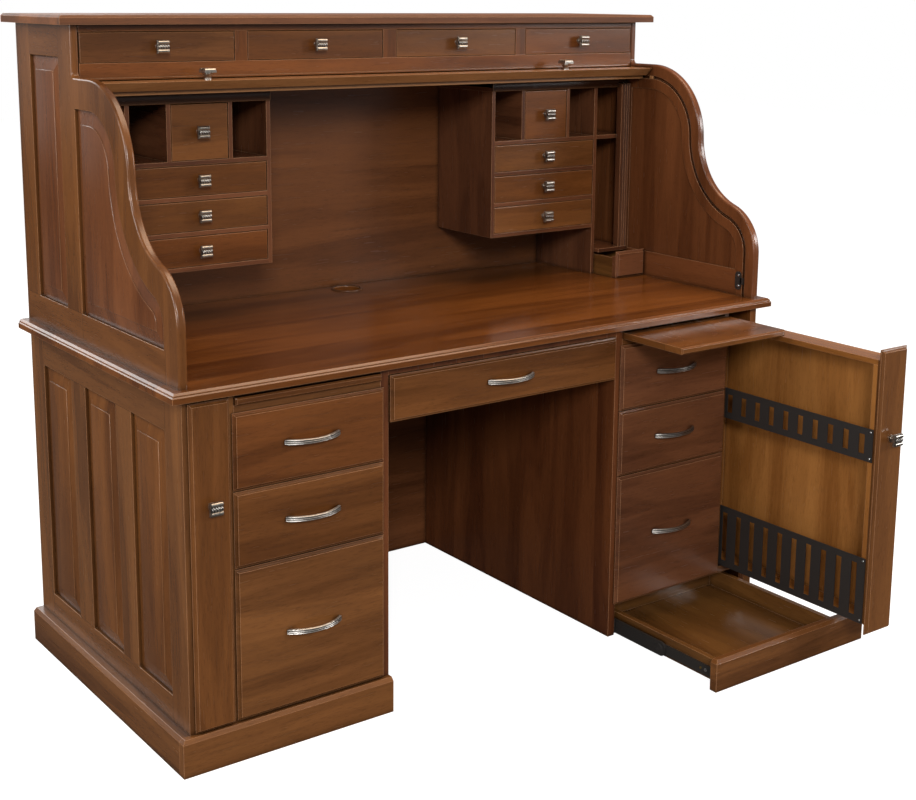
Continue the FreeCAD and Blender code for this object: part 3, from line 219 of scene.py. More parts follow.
# %% Which way the wood runs
AXES = {"x": 0, "y": 1, "z": 2}
GRAIN_DRAW = 11.0
JOINT_LINE = 1.0 * MM


def squeeze(grain):
    """Scale per axis that draws a pattern out along the grain."""
    return [1.0 / GRAIN_DRAW if axis == grain else 1.0 for axis in AXES]


def in_boxes(tree, split, boxes, grow=0.0):
    """1 inside any of the boxes, each a row of (axis, low, high) in millimetres, else 0."""
    result = 0.0
    for box in boxes:
        inside = 1.0
        for axis, low, high in box:
            centre, half = (low + high) / 2 * MM, (high - low) / 2 * MM + grow
            band = add(tree, "ShaderNodeMath", {0: split.outputs[AXES[axis]], 1: centre, 2: half},
                       operation="COMPARE")
            inside = add(tree, "ShaderNodeMath", {0: inside, 1: band}, operation="MULTIPLY")
        result = add(tree, "ShaderNodeMath", {0: result, 1: inside}, operation="MAXIMUM")
    return result


def lay_grain(tree, place, grain, rails, rail_grain):
    """Coordinates drawn out along the grain, and a mask of the joints between rails and stiles."""
    scale = add(tree, "ShaderNodeCombineXYZ", dict(zip("XYZ", squeeze(grain)))).outputs[0]
    joints = 0.0
    if rails:
        split = add(tree, "ShaderNodeSeparateXYZ", {0: place})
        across = in_boxes(tree, split, rails)
        grown = in_boxes(tree, split, rails, JOINT_LINE)
        joints = add(tree, "ShaderNodeMath", {0: grown, 1: across}, operation="SUBTRACT")
        turned = add(tree, "ShaderNodeCombineXYZ", dict(zip("XYZ", squeeze(rail_grain))))
        scale = add(tree, "ShaderNodeMix", {0: across, 4: scale, 5: turned}, data_type="VECTOR").outputs[1]
    return add(tree, "ShaderNodeVectorMath", {0: place, 1: scale}, operation="MULTIPLY"), joints


print("grain runs", GRAIN_DRAW, "times longer than wide")

# %% [markdown]
# ## Boards of a panel
# A wide panel is glued up from boards, and no two boards match. They could be cut apart as meshes, but the
# panel is one solid, so the board's number is worked out from the place across the panel. The number gives
# each board a seed for its figure, and a tone a little darker or paler than its neighbour's.

# %% Boards of a panel
BOARD_SEED = 4.7
BOARD_TONE, BOARD_SPREAD = 0.92, 0.16


def glued_boards(tree, place, shift, axis, width):
    """A seed and a tone for each board of a panel, with the boards' width in millimetres."""
    split = add(tree, "ShaderNodeSeparateXYZ", {0: place})
    share = add(tree, "ShaderNodeMath", {0: split.outputs[AXES[axis]], 1: width * MM}, operation="DIVIDE")
    count = add(tree, "ShaderNodeMath", {0: share}, operation="FLOOR")
    seed = add(tree, "ShaderNodeMath", {0: count, 1: BOARD_SEED, 2: shift}, operation="MULTIPLY_ADD")
    draw = add(tree, "ShaderNodeTexWhiteNoise", {"W": seed}, noise_dimensions="1D").outputs["Value"]
    tone = add(tree, "ShaderNodeMath", {0: draw, 1: BOARD_SPREAD, 2: BOARD_TONE}, operation="MULTIPLY_ADD")
    return seed, tone


print("boards differ by", BOARD_SPREAD, "in tone")

# %% [markdown]
# ## Figure of the wood
# Plain-sawn walnut shows a broad cloudy figure, nested growth rings that follow it, streaks a few
# millimetres wide and short dark pores. A wave texture could draw the rings, but they would run like
# stripes. Here they are a sine of the cloudy figure, so they nest like the contour lines of a map. Real
# pores are a few tenths of a millimetre wide, and these are drawn wider so that they show.

# %% Figure of the wood
# name: (size in mm, detail, roughness, distortion)
LAYERS = {
    "figure": (95.0, 2.0, 0.45, 0.9),
    "streak": (7.0, 2.0, 0.5, 0.3),
    "pore": (1.5, 1.0, 0.5, 0.0),
}
RINGS, RING_SHARE, STREAK_SHARE = 60.0, 0.03, 0.25
DARK_FIGURE, PALE_FIGURE = 0.44, 0.82


def figure_of(tree, drawn, seed):
    """The noise layers, and how pale the wood is from 0 to 1."""
    layers = {}
    for layer, (size, detail, roughness, distortion) in LAYERS.items():
        layers[layer] = add(
            tree, "ShaderNodeTexNoise",
            {"Vector": drawn, "W": seed, "Scale": 1 / (size * MM), "Detail": detail, "Roughness": roughness,
             "Distortion": distortion}, noise_dimensions="4D")
    phase = add(tree, "ShaderNodeMath", {0: layers["figure"], 1: RINGS}, operation="MULTIPLY")
    ring = add(tree, "ShaderNodeMath", {0: phase}, operation="SINE")
    ringed = add(tree, "ShaderNodeMath", {0: ring, 1: RING_SHARE, 2: layers["figure"]},
                 operation="MULTIPLY_ADD")
    streaked = add(tree, "ShaderNodeMath", {0: layers["streak"], 1: STREAK_SHARE, 2: ringed},
                   operation="MULTIPLY_ADD")
    pale = add(tree, "ShaderNodeMapRange", {"Value": streaked, "From Min": DARK_FIGURE,
                                            "From Max": PALE_FIGURE})
    return layers, pale


print(len(LAYERS), "layers of figure")

# %% [markdown]
# ## Stain in pores and joints, painted shade in corners
# The wood is stained before it is lacquered. Stain that is wiped on stays in the pores and along the joints.
# Corners, grooves and the gaps between parts get painted shade. The corners could be painted by hand, but
# Ambient
# Occlusion finds them on every piece: the less open space lies around a point, the darker the wood is painted
# there.

# %% Stain in pores and joints, painted shade in corners
PORE_FLOOR, PORE_RIM, PORE_LEVEL = 0.33, 0.43, 0.8
JOINT_DARK = 0.45
SHADE_REACH, SHADE_SAMPLES = 12.0 * MM, 4
SHADE_CLOSED, SHADE_OPEN, SHADE_LEVEL = 0.35, 0.9, 0.3


def stain_and_shade(tree, pore, joints):
    """Three factors that darken the wood: stain in the pores and along the joints, and painted shade in
    corners and gaps.
    """
    dash = add(tree, "ShaderNodeMapRange", {"Value": pore, "From Min": PORE_FLOOR, "From Max": PORE_RIM,
                                            "To Min": PORE_LEVEL, "To Max": 1.0})
    line = add(tree, "ShaderNodeMath", {0: joints, 1: -JOINT_DARK, 2: 1.0}, operation="MULTIPLY_ADD")
    # Painted shade: Ambient Occlusion darkens corners, grooves and the gaps between parts.
    space = add(tree, "ShaderNodeAmbientOcclusion", {"Distance": SHADE_REACH}, samples=SHADE_SAMPLES)
    painted_shade = add(tree, "ShaderNodeMapRange", {
        "Value": space.outputs["AO"], "From Min": SHADE_CLOSED, "From Max": SHADE_OPEN,
        "To Min": SHADE_LEVEL, "To Max": 1.0})
    return dash, line, painted_shade


# The reach printed here is that of the painted shade.
print("stain pools within", SHADE_REACH / MM, "mm of a corner")

# %% [markdown]
# ## Worn edges and painted highlights
# On an arris the stain is rubbed thin, so the edge shows as a pale line, and that pale line is also a painted
# highlight for the light that the edges catch. Each edge could be bevelled and given a finish of its own, but
# a
# CAD node's mesh stays as it is. The Bevel node rounds only the normal near an edge, which also catches the
# light there, and where the rounded normal differs from the true one the wood is painted paler.

# %% Worn edges and painted highlights
EASED_EDGE, EDGE_SAMPLES = 1.8 * MM, 6
EDGE_STARTS, EDGE_FULL = 0.995, 0.82
WORN_HIGHLIGHT_TONE, WORN_HIGHLIGHT_MOST = linear("cf9a70"), 0.65


def worn_and_highlit_edge(tree, painted_shade):
    """How far the stain is worn and the edge is painted pale as a highlight, and the normal that rounds the
    edges off.
    """
    rounded = add(tree, "ShaderNodeBevel", {"Radius": EASED_EDGE}, samples=EDGE_SAMPLES)
    true = add(tree, "ShaderNodeNewGeometry").outputs["True Normal"]
    match = add(tree, "ShaderNodeVectorMath", {0: rounded, 1: true}, operation="DOT_PRODUCT").outputs["Value"]
    edge = add(tree, "ShaderNodeMapRange", {"Value": match, "From Min": EDGE_STARTS, "From Max": EDGE_FULL})
    # The pale line, partly wear and partly painted highlight, is left out where the painted shade lies.
    clear = add(tree, "ShaderNodeMath", {0: edge, 1: painted_shade}, operation="MULTIPLY")
    worn_highlight = add(tree, "ShaderNodeMath", {0: clear, 1: WORN_HIGHLIGHT_MOST}, operation="MULTIPLY")
    return worn_highlight, rounded


print("edges eased by", EASED_EDGE / MM, "mm")

# %% [markdown]
# ## Stained walnut
# Figure, stain, painted shade in the corners and edges that are partly worn and partly painted highlight come
# together in one finish: a warm brown under a sprayed satin lacquer. The lacquer could be a coat of its own
# over dull wood, but a single layer gives the same soft sheen and renders faster. Its index is a lacquer's,
# about 1.5, with the mirroring set slightly lower to match the desk, and the streaks vary the roughness a
# little. Each direction of the grain comes in a few tones, so that neighbouring boards differ, and the last
# of them is the reddest and a little darker, partly painted shade for pieces that stand in shadow.

# %% Stained walnut
SATIN, SHINE = 0.25, 0.4
STREAK_DULL, STREAK_BRIGHT, GLOSS_SPREAD = 0.3, 0.7, 0.03


def walnut(name, grain, shift, tones, rails=None, rail_grain="y", boards=None, rough=SATIN):
    """Stained walnut. boards is an (axis, width in mm) for a glued-up panel."""
    material, tree, shader = new_finish(name)
    place = add(tree, "ShaderNodeTexCoord").outputs["Object"]
    drawn, joints = lay_grain(tree, place, grain, rails, rail_grain)
    seed, level = glued_boards(tree, place, shift, *boards) if boards else (shift, 1.0)
    layers, pale = figure_of(tree, drawn, seed)
    dark, light = (linear(code) for code in tones)
    tint = add(tree, "ShaderNodeMix", {0: pale, 6: dark, 7: light}, data_type="RGBA").outputs[2]
    dash, line, painted_shade = stain_and_shade(tree, layers["pore"], joints)
    for factor in (dash, line, painted_shade):
        level = add(tree, "ShaderNodeMath", {0: level, 1: factor}, operation="MULTIPLY")
    stained = add(tree, "ShaderNodeVectorMath", {0: tint, 3: level}, operation="SCALE")
    worn_highlight, rounded = worn_and_highlit_edge(tree, painted_shade)
    colour = add(tree, "ShaderNodeMix", {0: worn_highlight, 6: stained, 7: WORN_HIGHLIGHT_TONE}, data_type="RGBA").outputs[2]
    gloss = add(tree, "ShaderNodeMapRange", {
        "Value": layers["streak"], "From Min": STREAK_DULL, "From Max": STREAK_BRIGHT,
        "To Min": rough + GLOSS_SPREAD, "To Max": rough - GLOSS_SPREAD})
    fill(tree, shader, {
        "Base Color": colour, "Roughness": gloss, "Normal": rounded, "Specular IOR Level": SHINE})
    return material


VARIANTS, REDDEST_SHADED = 5, 5
VARIANT_SEED, GRAIN_SEED = 11.0, 3.7
# The last pair is the reddest and a little darker: partly painted shade for the pieces that stand in shadow.
WALNUT_TONES = [("502d12", "744722"), ("523016", "784c27"), ("4b2910", "6f431f"), ("4e2c13", "734824"),
                ("512c11", "764520"), ("4a2a1a", "6f442b")]
walnuts = {}
for grain in AXES:
    for i, tones in enumerate(WALNUT_TONES):
        shift = VARIANT_SEED * i + GRAIN_SEED * AXES[grain]
        walnuts[(grain, i)] = walnut(f"stained_walnut_{grain}_{i}", grain, shift, tones)
print(len(walnuts), "walnut finishes")

# %% [markdown]
# ## Wood of the drawer boxes and trays
# Drawer boxes and the media trays are birch plywood under the same lacquer: a yellower brown with the cloudy
# figure of a veneer that is peeled round the log. It could have a material of its own, but veneer differs
# from the boards mainly in colour, so the same finish serves with paler tones. The trays have no stain, and
# the drawer boxes are darker, with painted shade for their insides.

# %% Wood of the drawer boxes and trays
TRAY_TONES, TRAY_SEED = ("7d4d22", "a26c37"), 40.0
# The drawer boxes' darker tones are painted shade for the insides of the drawers.
BOX_SHADE_TONES, BOX_SEED = ("553517", "7c5228"), 50.0
tray_plies, box_shade_plies = [], []
for grain, number in AXES.items():
    tray_plies.append(walnut(f"lacquered_birch_ply_{grain}", grain, TRAY_SEED + number, TRAY_TONES))
    box_shade_plies.append(walnut(f"shaded_birch_ply_{grain}", grain, BOX_SEED + number, BOX_SHADE_TONES))
print(len(tray_plies + box_shade_plies), "plywood finishes")

# %% [markdown]
# ## Rubbed metal
# The pulls and knobs are zinc castings plated in satin nickel. The plating was darkened and rubbed back, so
# ridges are bright and hollows grey, and the knobs stay darker than the pulls. The hollows could be found
# while rendering, as the corners of the wood are, but the twist's are shallow, so each mesh carries the
# depth of its hollows as an attribute. Bright zinc screws and brass rivets share the finish.

# %% Rubbed metal
RUB_SIZE, RUB_DETAIL = 2.0 * MM, 3.0
RUB_LEAST, RUB_MOST = 0.3, 0.7
SMOOTHER, ROUGHER = 0.06, 0.08


def plated(name, dark, pale, hollow_tone, rough):
    """Rubbed plate over a casting, darker where the mesh's hollow attribute is high."""
    material, tree, shader = new_finish(name)
    place = add(tree, "ShaderNodeTexCoord").outputs["Object"]
    noise = add(tree, "ShaderNodeTexNoise", {"Vector": place, "Scale": 1 / RUB_SIZE, "Detail": RUB_DETAIL})
    rubbed = add(tree, "ShaderNodeMapRange", {"Value": noise, "From Min": RUB_LEAST, "From Max": RUB_MOST})
    plate = add(tree, "ShaderNodeMix", {0: rubbed, 6: linear(dark), 7: linear(pale)}, data_type="RGBA")
    depth = add(tree, "ShaderNodeAttribute", attribute_name="hollow").outputs["Fac"]
    tint = add(tree, "ShaderNodeMix", {0: depth, 6: plate.outputs[2], 7: linear(hollow_tone)},
               data_type="RGBA")
    gloss = add(tree, "ShaderNodeMapRange", {"Value": rubbed, "To Min": rough - SMOOTHER,
                                             "To Max": rough + ROUGHER})
    fill(tree, shader, {"Base Color": tint.outputs[2], "Roughness": gloss, "Metallic": 1.0})
    return material


nickel = plated("satin_nickel_plate", "9a958f", "d2cdc6", "4a4542", 0.36)
pewter = plated("dark_nickel_plate", "87827b", "c6bfb5", "34312e", 0.32)
zinc = plated("bright_zinc_screw", "a5a6a8", "d2d3d5", "2b2b2c", 0.3)
brass = plated("brass_rivet", "9a7a34", "c9a75a", "3a2c10", 0.3)
print("two nickels, zinc and brass")

# %% [markdown]
# ## Black steel and canvas
# Slides, pockets and catch plates are pressed steel under sprayed satin black paint, which dries with a fine
# orange-peel grit. The cover's slats are glued to plain-woven cotton canvas. Its threads could be modelled,
# but the canvas hides inside the case, so a checker gives the weave. A thread is about half a millimetre
# thick, and it is drawn coarser so that it shows.

# %% Black steel and canvas
GRIT_SIZE, GRIT_DETAIL = 0.8 * MM, 2.0
GRIT_RISE, GRIT_STRENGTH, PAINT_ROUGH = 0.2 * MM, 0.15, 0.4
THREAD_WIDE, CLOTH_ROUGH = 1.2 * MM, 0.85
black, black_tree, black_shader = new_finish("satin_black_steel")
place = add(black_tree, "ShaderNodeTexCoord").outputs["Object"]
grit = add(black_tree, "ShaderNodeTexNoise", {"Vector": place, "Scale": 1 / GRIT_SIZE, "Detail": GRIT_DETAIL})
tint = add(black_tree, "ShaderNodeMix", {0: grit, 6: linear("181616"), 7: linear("36322f")}, data_type="RGBA")
bump = add(black_tree, "ShaderNodeBump", {"Height": grit, "Strength": GRIT_STRENGTH, "Distance": GRIT_RISE})
fill(black_tree, black_shader, {"Base Color": tint.outputs[2], "Roughness": PAINT_ROUGH, "Normal": bump})

canvas, canvas_tree, canvas_shader = new_finish("cotton_canvas")
place = add(canvas_tree, "ShaderNodeTexCoord").outputs["Object"]
weave = add(canvas_tree, "ShaderNodeTexChecker", {"Vector": place, "Scale": 1 / THREAD_WIDE,
                                                  "Color1": linear("6b5a45"), "Color2": linear("54452f")})
fill(canvas_tree, canvas_shader, {"Base Color": weave, "Roughness": CLOTH_ROUGH})
print("black steel with", GRIT_SIZE / MM, "mm grit, canvas with", THREAD_WIDE / MM, "mm threads")

# %% [markdown]
# ## Frames, panels and glued-up boards
# Most boards run along their longest side, and a triangle of a CAD face shows that side. Frames with
# openings, curved pieces and square boards don't show it, so these get their grain by name: stiles upright
# with rails across, raised panels upright, tops along the desk. Wide ones are glued up from boards. One
# finish for all would be quicker, but then a frame would look cut from a single plank.

# %% Frames, panels and glued-up boards
# Boxes of the rails, and the slides' front faces, in millimetres
UPPER_RAILS = [
    (("y", -305, -5), ("z", 760, 826)), (("y", -229.5, -70.5), ("z", 1350, 1417)),
    (("y", -700, -307.5), ("z", 760, 826)),
]
PEDESTAL_RAILS = [(("y", -683.5, -66.5), ("z", -1, 130)), (("y", -683.5, -66.5), ("z", 668, 743))]
SLIDE_FACES = {"left": -765.5, "right": -947.5}
SLIDE_CLEAT, CLEAT_MARGIN = 55.0, 1.0
NAME_SEED = 2.3
BY_NAME = {}
for side, slide_face in SLIDE_FACES.items():
    BY_NAME[f"upper_side_{side}"] = dict(grain="z", rails=UPPER_RAILS)
    BY_NAME[f"pedestal_side_{side}"] = dict(grain="z", rails=PEDESTAL_RAILS)
    cleat = (("y", slide_face - CLEAT_MARGIN, slide_face + SLIDE_CLEAT),)
    BY_NAME[f"writing_slide_{side}"] = dict(grain="y", rails=[cleat], rail_grain="x")
BY_NAME["upper_side_right"]["tones"] = ("4f2b15", "734325")
BY_NAME.update({
    "upper_side_panels": dict(grain="z", tones=("512c16", "764627")),
    "pedestal_side_panels": dict(grain="z"),
    "desktop": dict(grain="x", boards=("y", 118.0), tones=("4b270e", "72421c"), rough=0.2),
    "top_board": dict(grain="x", boards=("y", 105.0), rough=0.6),
    "case_backs": dict(grain="x", boards=("z", 150.0), tones=("53301a", "724526")),
    "back_panels": dict(grain="x", boards=("z", 185.0), tones=("4d2b17", "704327")),
    # The inner sides' darker, redder tones are partly painted shade, for the shaded spaces that they face.
    "inner_sides": dict(grain="z", boards=("y", 140.0), tones=("4b2614", "6c3d21")),
    # The lift rail's paler tones are partly painted light, for the light that its front catches.
    "lift_rail": dict(grain="x", tones=("744a28", "966840")),
    "tambour_slats": dict(grain="x"),
    "cord_grommet": dict(grain="x", tones=("2c160b", "4a2a14")),
})
named_walnuts = {}
for i, (name, how) in enumerate(BY_NAME.items()):
    how = {"tones": WALNUT_TONES[i % VARIANTS], **how}
    named_walnuts[name] = walnut(f"stained_walnut_{name}", shift=NAME_SEED * i, **how)
print(len(named_walnuts), "pieces with a finish of their own")

# %% [markdown]
# ## Telling the pieces apart
# A drawer is one CAD node but several things: a solid front, a plywood box, a cast knob and steel slide
# members. Faces could be picked by their numbers, but those change with every new CAD build. Places don't,
# so a face is told by where it lies: ahead of the front, within its thickness, in a slide's band, or behind.

# %% Telling the pieces apart
KNOB_OUT, FRONT_THICK, FACE_MARGIN = 24 * MM, 21 * MM, 0.2 * MM
METAL_NODES = {"rail_knobs": pewter, "centre_pull": nickel}
METAL_NODES.update({n: nickel for n in nodes if "_pull_" in n})
METAL_NODES.update({n: black for n in nodes if "slide_middle" in n or "pockets" in n})
METAL_NODES.update({"drawer_slides": black, "catch_plates": black, "tambour_canvas": canvas})
KNOBBED = [n for n in nodes if n.startswith("top_drawer") or "organizer_" in n and "drawer" in n]
KNOBBED += ["media_left", "media_right"]
BOXED = KNOBBED + [n for n in nodes if "_drawer" in n and "slide" not in n and n not in KNOBBED]
BOXED = [n for n in BOXED if n != "drawer_row_frame"]
# Where slide members lie to the left and right of the middle, in millimetres
SLIDE_BANDS = {"centre_drawer": [(296.1, 303)], "base_drawer": [(336.4, 340.9), (734.6, 739.1)]}
for side in SIDES:
    SLIDE_BANDS[f"media_{side}"] = [(734.6, 741)]
    for i in (1, 2, 3):
        SLIDE_BANDS[f"{side}_drawer_{i}"] = [(334.2, 340.9), (646.1, 652.8)]
print(len(KNOBBED), "nodes with a knob,", len(BOXED), "with a box,", len(METAL_NODES), "of metal or cloth")

# %% [markdown]
# ## Grain on every board
# The rest take their grain face by face: a drawer front runs across, a media front upright, and every other
# board along the longest side of its face. Each board could be an object of its own, but then it would leave
# its CAD node, so one node holds several materials and each face has the number of its own.

# %% Grain on every board
KNOB_INDEX, BLACK_INDEX, PLY_INDEX = 3, 4, 5


def put(obj, materials, choice):
    """Gives an object its materials, with choice(centre, extent) naming one per face."""
    obj.data.materials.clear()
    for material in materials:
        obj.data.materials.append(material)
    picks = []
    for face in obj.data.polygons:
        corners = [obj.data.vertices[i].co for i in face.vertices]
        low = Vector(min(c[k] for c in corners) for k in range(3))
        high = Vector(max(c[k] for c in corners) for k in range(3))
        picks.append(choice((low + high) / 2, high - low))
    obj.data.polygons.foreach_set("material_index", picks)
    obj.data.update()


def wood_choice(name):
    """The choice for a wooden node: grain along x, y or z, then knob, black steel and plywood."""
    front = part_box(name)[0][1] + (KNOB_OUT if name in KNOBBED else 0.0)
    bands = [(a * MM, b * MM) for a, b in SLIDE_BANDS.get(name, [])]
    front_grain = AXES["z" if name.startswith("media") else "x"]

    def choice(centre, extent):
        longest = max(range(3), key=lambda k: extent[k])
        if name not in BOXED:
            return longest
        if centre[1] < front - FACE_MARGIN:
            return KNOB_INDEX
        if centre[1] < front + FRONT_THICK:
            return front_grain
        if any(a < abs(centre[0]) < b for a, b in bands):
            return BLACK_INDEX
        return PLY_INDEX + longest

    return choice


for number, (name, obj) in enumerate(sorted(nodes.items())):
    single = METAL_NODES.get(name) or named_walnuts.get(name)
    if single:
        put(obj, [single], lambda centre, extent: 0)
        continue
    # Right drawers, organizers and hidden drawers take the reddest tone, partly painted shade for pieces in
    # shadow.
    variant = REDDEST_SHADED if name.startswith(("right_drawer", "organizer", "hidden")) else number % VARIANTS
    finishes = [walnuts[(grain, variant)] for grain in AXES]
    plies = tray_plies if name.startswith("media") else box_shade_plies
    put(obj, finishes + [pewter, black] + plies, wood_choice(name))
print("grain laid on", len(nodes), "nodes")

# %% [markdown]
# ## Making a piece
# New pieces are meshes that lie where they belong, on objects that stay at the origin, as the CAD nodes do.
# An object could be moved into place, but then its pattern would move with it. One helper merges doubled
# points, turns the faces outward, smooths all but sharp edges, and hooks the piece to the body that it
# rides on.

# %% Making a piece
SMOOTH_BELOW, MERGE_REACH = math.radians(40), 0.001 * MM


def make_piece(name, shape, material, body, stands_for=()):
    """Turns a bmesh into a finished object that rides on a body."""
    bmesh.ops.remove_doubles(shape, verts=shape.verts[:], dist=MERGE_REACH)
    bmesh.ops.recalc_face_normals(shape, faces=shape.faces[:])
    mesh = bpy.data.meshes.new(name)
    shape.to_mesh(mesh)
    shape.free()
    mesh.materials.append(material)
    mesh.polygons.foreach_set("use_smooth", [True] * len(mesh.polygons))
    mesh.set_sharp_from_angle(angle=SMOOTH_BELOW)
    obj = bpy.data.objects.new(name, mesh)
    bpy.context.collection.objects.link(obj)
    if stands_for:
        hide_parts(*stands_for)
    if body:
        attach(obj, body)
    return obj


print("pieces stay smooth below", round(math.degrees(SMOOTH_BELOW)), "degrees")

# %% [markdown]
# ## Blocks, rounded edges and sweeps
# Most small fittings are a strip or a plate with some edges rounded, so one helper makes a block between two
# corners, one finds the edges along an axis, and one bevels them. Bows and twisted bars are swept: a closed
# loop of edges is extruded from place to place and capped. A curve with a bevel could do that too, but a
# loop can be ridged, and turned as it goes.

# %% Blocks, rounded edges and sweeps
ALONG = 0.99


def once(items):
    """The items in their order, each once, so that every run is alike."""
    return list(dict.fromkeys(items))


def block(shape, low, high):
    """A box between two corners."""
    low, high = Vector(low), Vector(high)
    place = Matrix.Translation((low + high) / 2) @ Matrix.Diagonal((*(high - low), 1.0))
    return bmesh.ops.create_cube(shape, size=1.0, matrix=place)["verts"]


def edges_along(verts, axis):
    """The edges among some points that run along one axis."""
    edges = once(e for v in verts for e in v.link_edges)
    return [e for e in edges if abs((e.verts[0].co - e.verts[1].co).normalized()[axis]) > ALONG]


def round_edges(shape, edges, radius, segments):
    """Rounds edges off."""
    bmesh.ops.bevel(shape, geom=edges, offset=radius, offset_type="OFFSET", segments=segments, profile=0.5,
                    affect="EDGES", material=-1)


def sweep(shape, loop, places):
    """Extrudes a closed loop of edges through places, matrices from the loop's own plane, and caps it."""
    here = places[0]
    bmesh.ops.transform(shape, matrix=here, verts=once(v for e in loop for v in e.verts))
    ends = [loop]
    for place in places[1:]:
        made = bmesh.ops.extrude_edge_only(shape, edges=loop)["geom"]
        ring = [g for g in made if isinstance(g, bmesh.types.BMVert)]
        loop = [g for g in made if isinstance(g, bmesh.types.BMEdge) and g.is_boundary]
        bmesh.ops.transform(shape, matrix=place @ here.inverted(), verts=ring)
        here = place
    ends.append(loop)
    for end in ends:
        bmesh.ops.edgeloop_fill(shape, edges=end)


print("shape helpers ready")

# %% [markdown]
# ## Shoulders of the raised panels
# A raised panel's field ends in a small rounded shoulder above its bevel, and that is the bright line seen on
# the sides. The S-shaped field could be drawn anew, but it has to follow its panel. So the field faces of the
# CAD panels are copied, merged to one face per panel, raised by an extrusion, and bevelled round at the rim.

# %% Shoulders of the raised panels
SHOULDER_RISE, SHOULDER_ROUND, SHOULDER_STEPS = 1.7 * MM, 1.5 * MM, 4
FIELD_MARGIN, FLAT_BELOW = 0.01 * MM, math.radians(0.5)
for name in ("upper_side_panels", "pedestal_side_panels"):
    mesh = nodes[name].data
    field_x = max(abs(v.co.x) for v in mesh.vertices)
    shape = bmesh.new()
    shape.from_mesh(mesh)
    others = [f for f in shape.faces if any(abs(abs(v.co.x) - field_x) > FIELD_MARGIN for v in f.verts)]
    bmesh.ops.delete(shape, geom=others, context="FACES")
    bmesh.ops.remove_doubles(shape, verts=shape.verts[:], dist=FIELD_MARGIN)
    bmesh.ops.dissolve_limit(shape, angle_limit=FLAT_BELOW, verts=shape.verts[:], edges=shape.edges[:])
    fields = shape.faces[:]
    made = bmesh.ops.extrude_face_region(shape, geom=fields, use_keep_orig=True)["geom"]
    for vert in made:
        if isinstance(vert, bmesh.types.BMVert):
            vert.co.x += math.copysign(SHOULDER_RISE, vert.co.x)
    tops = [f for f in made if isinstance(f, bmesh.types.BMFace)]
    round_edges(shape, once(e for f in tops for e in f.edges), SHOULDER_ROUND, SHOULDER_STEPS)
    make_piece(f"{name}_fields", shape, named_walnuts[name], "case")
    print(len(fields), "fields raised on", name)

# %% [markdown]
# ## Headers over the organizers
# A header closes the space over each organizer, under the cover's track, and covers the front edge of the
# organizer's top board. Its near-black tone is painted shade, for the rail's shadow over it. It stops short
# above the pilaster. One board with a notch could be cut, but two strips of different height give the same
# front, and a strip's edges are easily eased.

# %% Headers over the organizers
HEADER_THICK, HEADER_PROUD, HEADER_LAP = 6 * MM, 3 * MM, 9 * MM
CANVAS_THICK, TRACK_CLEAR = 1 * MM, 2 * MM
PILASTER_WIDE, PILASTER_GAP = 31 * MM, 0.3 * MM
STRIP_EASE, STRIP_STEPS = 0.8 * MM, 2
HEADER_SEED = 61.0
under_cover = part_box("tambour_canvas")[1][2] - CANVAS_THICK - TRACK_CLEAR
# The header's near-black tones are painted shade.
header_shade_wood = walnut("walnut_header_painted_shade", "x", HEADER_SEED, ("2c170b", "402411"))
shape = bmesh.new()
for side, sign in SIDES.items():
    low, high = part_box(f"organizer_{side}")
    header_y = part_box(f"{side}_organizer_drawer_1")[0][1] + KNOB_OUT - HEADER_PROUD
    inner, outer = sorted((abs(low[0]), abs(high[0])))
    for near, far, foot in ((inner, outer - PILASTER_WIDE, high[2] - HEADER_LAP),
                            (outer - PILASTER_WIDE, outer, high[2] + PILASTER_GAP)):
        x0, x1 = sorted((sign * near, sign * far))
        verts = block(shape, (x0, header_y, foot), (x1, header_y + HEADER_THICK, under_cover))
        round_edges(shape, edges_along(verts, 0), STRIP_EASE, STRIP_STEPS)
make_piece("organizer_headers", shape, header_shade_wood, "case")
print("headers", round((under_cover - high[2]) / MM, 1), "mm above the organizers")

# %% [markdown]
# ## Fillet under the drawer row
# A thin fillet under the drawer row leaves only a fine gap over the lift rail. The rail could be raised, but
# it has to run in its track, so the fillet takes up what is left between the row and the rail's top.

# %% Fillet under the drawer row
FILLET_DEEP, RAIL_CLEAR, FILLET_VARIANT = 12 * MM, 1.2 * MM, 4
row_low, row_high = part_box("drawer_row_frame")
fillet_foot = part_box("lift_rail")[1][2] + RAIL_CLEAR
shape = bmesh.new()
verts = block(shape, (row_low[0], row_low[1], fillet_foot),
              (row_high[0], row_low[1] + FILLET_DEEP, row_low[2]))
round_edges(shape, edges_along(verts, 0), STRIP_EASE, STRIP_STEPS)
make_piece("drawer_row_fillet", shape, walnuts[("x", FILLET_VARIANT)], "case")
print("fillet", round((row_low[2] - fillet_foot) / MM, 1), "mm tall")

# %% [markdown]
# ## Section of a bow pull
# Each pull is a cast strap with three lengthwise ridges on its outer side. A bump could fake the ridges, but
# they catch the light along the whole bow, so they are modelled. A circle of points is pressed into the
# strap's section and ridged. The depth of the grooves goes into the hollow attribute, so the plating is dark
# there.

# %% Section of a bow pull
PULL_SIDES, PULL_RIDGES = 56, 3
PULL_RIDGE, PULL_THICK, PULL_BACK = 1.3 * MM, 3.4 * MM, 1.1 * MM
SQUARE_POWER, RIM_POWER = 0.5, 6


